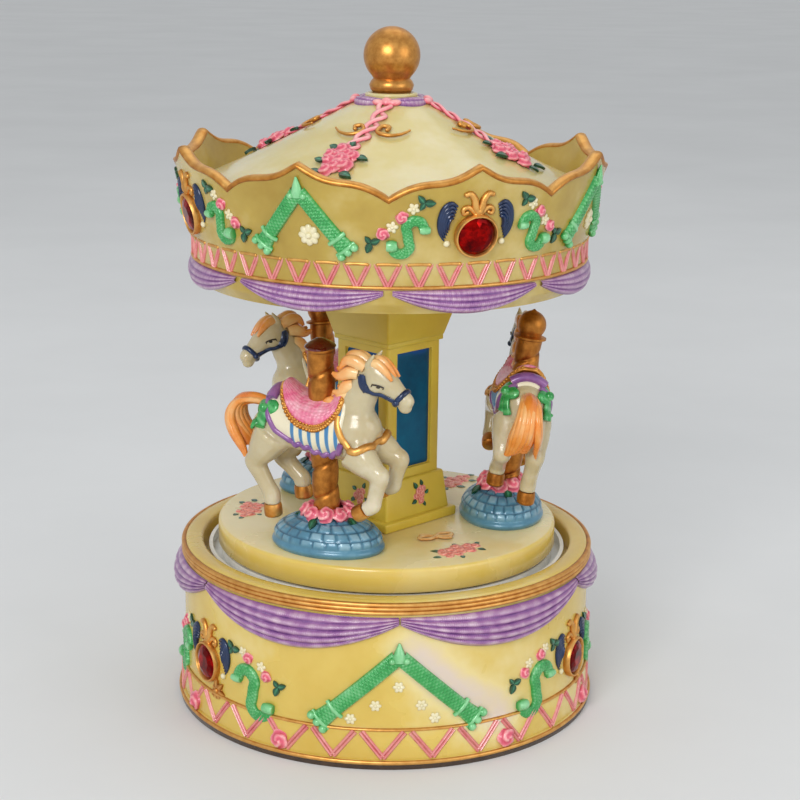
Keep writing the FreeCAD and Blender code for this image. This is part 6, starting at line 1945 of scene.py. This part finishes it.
@dataclass
class HorseSet:
    """One place on the disc: a mound, a twisted pole and a horse."""

    name: str
    azimuth: float
    lean: float
    capped: bool
    drop: float = 0.0
    collar: float = 45.2
    circle: float = 28.6
    top: float = 45.0
    pole_foot: float = 3.0
    pole_radius: float = 3.1
    lead: float = 7.4
    ball_radius: float = 3.5
    length: float = 28.5
    width: float = 21.0
    height: float = 8.2
    lip: float = 2.0

    def place(self, lean: bool = True) -> Matrix:
        """Matrix from the horse's frame to the disc, leaning with the pole or upright."""
        spot = Matrix.Translation(at(self.azimuth, self.circle, self.top))
        return spot @ spun(self.azimuth) @ spun(self.lean if lean else 0, "X")

    def twist(self) -> Form:
        """Pole with one rounded strand that winds up it.

        Returns:
            The twisted pole.
        """
        form, rows = Form(), 150
        ring = bmesh.ops.create_circle(form.bm, segments=32, radius=1)["verts"]
        edges = list(form.bm.edges)
        bmesh.ops.translate(form.bm, vec=(0, 0, self.pole_foot), verts=ring)
        step = (self.collar - self.pole_foot) / rows
        for _ in range(rows):
            edges = form.grow(edges, Matrix.Translation((0, 0, step)))
        for vert in form.bm.verts:
            turn = atan2(vert.co.y, vert.co.x) - tau * vert.co.z / self.lead
            groove = max(0.0, cos(turn)) ** 14
            # Painted shade: the groove is darker than the rounded strand.
            vert[form.relief] = 0.16 - 0.16 * groove
            flat = vert.co.xy.normalized() * (self.pole_radius - 0.1 * cos(turn) - 0.4 * groove)
            vert.co = Vector((flat.x, flat.y, vert.co.z))
        return form

    def pole(self) -> None:
        """Makes the pole with its collar and its pointed ball or low cap."""
        form = self.twist()
        top = self.collar + 1.2
        flange = 3.3 if self.capped else 4.0
        steps = ((0, -0.6), (2.9, -0.4), (3.05, 0), (flange, 0.35), (flange, 0.8), (3.2, 1.05), (2.75, 1.2))
        profile = [(radius, self.collar + rise) for radius, rise in steps]
        if self.capped:
            profile.append((0, top))
        else:
            low = -acos(2.475 / self.ball_radius)
            centre = top - self.ball_radius * sin(low)
            for index in range(1, 15):
                turn = low + (radians(66) - low) * index / 14
                reach, rise = self.ball_radius * cos(turn), self.ball_radius * sin(turn)
                profile.append((reach, centre + rise))
            profile += [(0.7, centre + 3.5), (0.3, centre + 3.8), (0, centre + 4.0)]
        form.add(lathe(profile, 40, False).painted(lambda co: 0.2))
        form.close().moved(self.place())
        pole = form.piece(f"twisted_pole_{self.name}", Finishes.GILT, "gold_paint", crease=50)
        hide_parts(f"pole_{self.name}")
        if self.capped:
            steps = ((0, -0.5), (3.4, -0.4), (3.7, 0), (3.5, 0.35), (2.3, 1.1), (1.0, 1.8), (0, 2.0))
            cap = lathe([(radius, top + rise) for radius, rise in steps], 40, False).moved(self.place())
            cap.piece("pole_cap", Finishes.GARNET, "jewel_red", crease=50)

    def cobble(self, share: float, azimuth: float) -> tuple[float, float]:
        """Height and shade of the cobbles at a place on the dome.

        Args:
            share: Place from the lip at 0 to the top at 1.
            azimuth: Angle round the dome in radians.

        Returns:
            Groove height from 0 to 1, and tone of the stone.
        """
        rows, stone = 5, 3.0
        row = int(share * rows)
        across = share * rows - row
        mean = (self.length + self.width) / 4 * cos(pi / 2 * (row + 0.5) / rows * 0.93)
        count = max(6, round(tau * mean / stone))
        along = azimuth / tau * count + 0.5 * (row % 2) + 0.13 * row
        column = floor(along)
        gap = min((along - column) * stone, (1 - along + column) * stone, across * 2.6, (1 - across) * 2.6)
        height = clamp(gap / 0.5)
        shade = random.Random(row * 97 + column % count).uniform(0.35, 0.85)
        return height * height * (3 - 2 * height), shade

    def dome(self) -> Form:
        """Oval dome of cobbles on a smooth lip.

        Returns:
            The dome.
        """
        form = Form()
        half, rise, edge = Vector((self.length / 2, self.width / 2)), self.height - self.lip, 0.16
        for vert in form.grid(200, 60):
            azimuth, v = vert.co.x * pi, (vert.co.y + 1) / 2
            if v < edge:
                turn = pi * v / edge
                reach, z, shade = 0.955 + 0.045 * sin(turn), self.lip * v / edge, 0.45
            else:
                share = (v - edge) / (1 - edge)
                turn = pi / 2 * share * 0.93
                stone, tone = self.cobble(min(share, 0.999), azimuth)
                fade = min(1.0, 12 * share)
                reach = 0.955 * cos(turn) ** 1.25 + 0.012 * stone * fade
                z = self.lip + rise * sin(turn) + 0.34 * stone * fade
                # Painted shade: the grooves between the stones are darkened; each stone keeps its own tone.
                shade = 0.45 + (0.05 + tone * stone - 0.45) * fade
            vert[form.relief] = shade
            x, y = half.x * reach * cos(azimuth), half.y * reach * sin(azimuth)
            vert.co = Vector((x, y, z + 0.02))
        return form.close()

    def mound(self) -> None:
        """Makes the cobbled mound with its rose wreath."""
        matrix = self.place(False)
        dome = self.dome().moved(matrix)
        mound = dome.piece(f"cobbled_mound_{self.name}", Finishes.COBBLE, "mound_blue")
        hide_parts(f"mound_{self.name}")
        spray = Spray()
        rose, leaf = rose_form(1.95), leaf_form(3.0, 1.9)
        for index in range(9):
            turn = tau * index / 9 + 0.2
            lift = self.height + 0.3 + 0.3 * (index % 2)
            spot = Matrix.Translation((5.0 * cos(turn), 4.6 * sin(turn), lift))
            tilt = Matrix.Rotation(0.75, 4, Vector((-sin(turn), cos(turn), 0)))
            local = spot @ tilt @ Matrix.Rotation(index, 4, "Z")
            spray.roses.add(rose, by(matrix @ local))
            if index % 2 == 0:
                way = turn + 0.3
                out = Matrix.Translation((6.3 * cos(way), 5.7 * sin(way), self.height - 0.3))
                local = out @ Matrix.Rotation(way, 4, "Z") @ Matrix.Rotation(0.75, 4, "Y")
                spray.leaves.add(leaf, by(matrix @ local))
        spray.dress(f"mound_{self.name}")

    def dress(self, horse: Horse) -> None:
        """Builds the set.

        Args:
            horse: The modelled horse, which is copied to this place.
        """
        self.pole()
        self.mound()
        place = by(self.place() @ Matrix.Translation((0, 0, -self.drop)))
        for part, (form, finish) in horse.layers.items():
            slot = "gold_paint" if finish is Finishes.GILT else "horse_pearl"
            made = Form().add(form, place).piece(f"horse_{self.name}_{part}", finish, slot)
            if part == "body":
                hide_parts(f"horse_{self.name}")


@dataclass
class Studio:
    """Floor, light and camera."""

    camera_place: tuple[float, float, float] = (2.942, -438.31, 185.70)
    pitch: float = 0.2490
    roll: float = 0.013
    lens: float = 82.6
    floor_radius: float = 14000.0
    world_strength: float = 0.62

    def floor(self) -> None:
        """Makes the plain pale floor."""
        form = Form()
        bmesh.ops.create_circle(form.bm, cap_ends=True, segments=96, radius=self.floor_radius)
        mesh = form.mesh("floor", MM)
        mesh.materials.append(Finishes.FLOOR.material())
        floor = shown("floor", mesh)

    def lamp(self, name: str, place: tuple[float, float, float], size: float, power: float) -> None:
        """Adds one soft lamp that looks at the middle of the object.

        Args:
            name: Name of the lamp.
            place: Where it hangs, in metres.
            size: Side of the lamp in metres.
            power: Power in watts.
        """
        light = bpy.data.lights.new(name, "AREA")
        light.size = size
        light.energy = power
        lamp = shown(name, light)
        lamp.location = place
        lamp.rotation_euler = (Vector((0, 0, 0.08)) - Vector(place)).to_track_quat("-Z", "Y").to_euler()

    def light(self) -> None:
        """Sets the lamps and the ambient light."""
        self.lamp("window", (-0.3, -0.88, 0.55), 0.4, 5.2)
        self.lamp("fill", (0.8, -0.6, 0.35), 0.6, 2.0)
        self.lamp("top", (0.1, 0.35, 0.9), 0.7, 1.0)
        world = bpy.data.worlds.new("room")
        world.use_nodes = True
        room = world.node_tree.nodes["Background"]
        settle(room, Color=(0.93, 0.95, 0.97, 1), Strength=self.world_strength)
        bpy.context.scene.world = world
        bpy.context.scene.view_settings.view_transform = "Standard"

    def camera(self) -> None:
        """Sets the camera where the photograph was taken from."""
        data = bpy.data.cameras.new("camera")
        data.lens = self.lens
        data.sensor_width = 36
        data.clip_start = 0.01
        camera = shown("camera", data)
        turn = Matrix.Rotation(pi / 2 - self.pitch, 4, "X") @ Matrix.Rotation(self.roll, 4, "Z")
        camera.matrix_world = Matrix.Translation(Vector(self.camera_place) * MM) @ turn
        bpy.context.scene.camera = camera

    def dress(self) -> None:
        """Builds the studio."""
        self.floor()
        self.light()
        self.camera()


def main() -> None:
    """Builds the music box and the studio."""
    logging.basicConfig(level=logging.INFO, format="%(name)s: %(message)s")
    Studio().dress()
    for assembly in (Drum(), Turntable(), Column(), Canopy()):
        assembly.dress()
    horse = Horse()
    sets = (("front", 4.5, 0.4, 48.0), ("right", 7.5, 0.0, 45.2), ("rear", 7.0, 3.0, 42.4))
    for index, (name, lean, drop, collar) in enumerate(sets):
        HorseSet(name, -28.5 + 120 * index, lean, index == 0, drop, collar).dress(horse)
    bpy.context.view_layer.update()


if __name__ == "__main__":
    main()
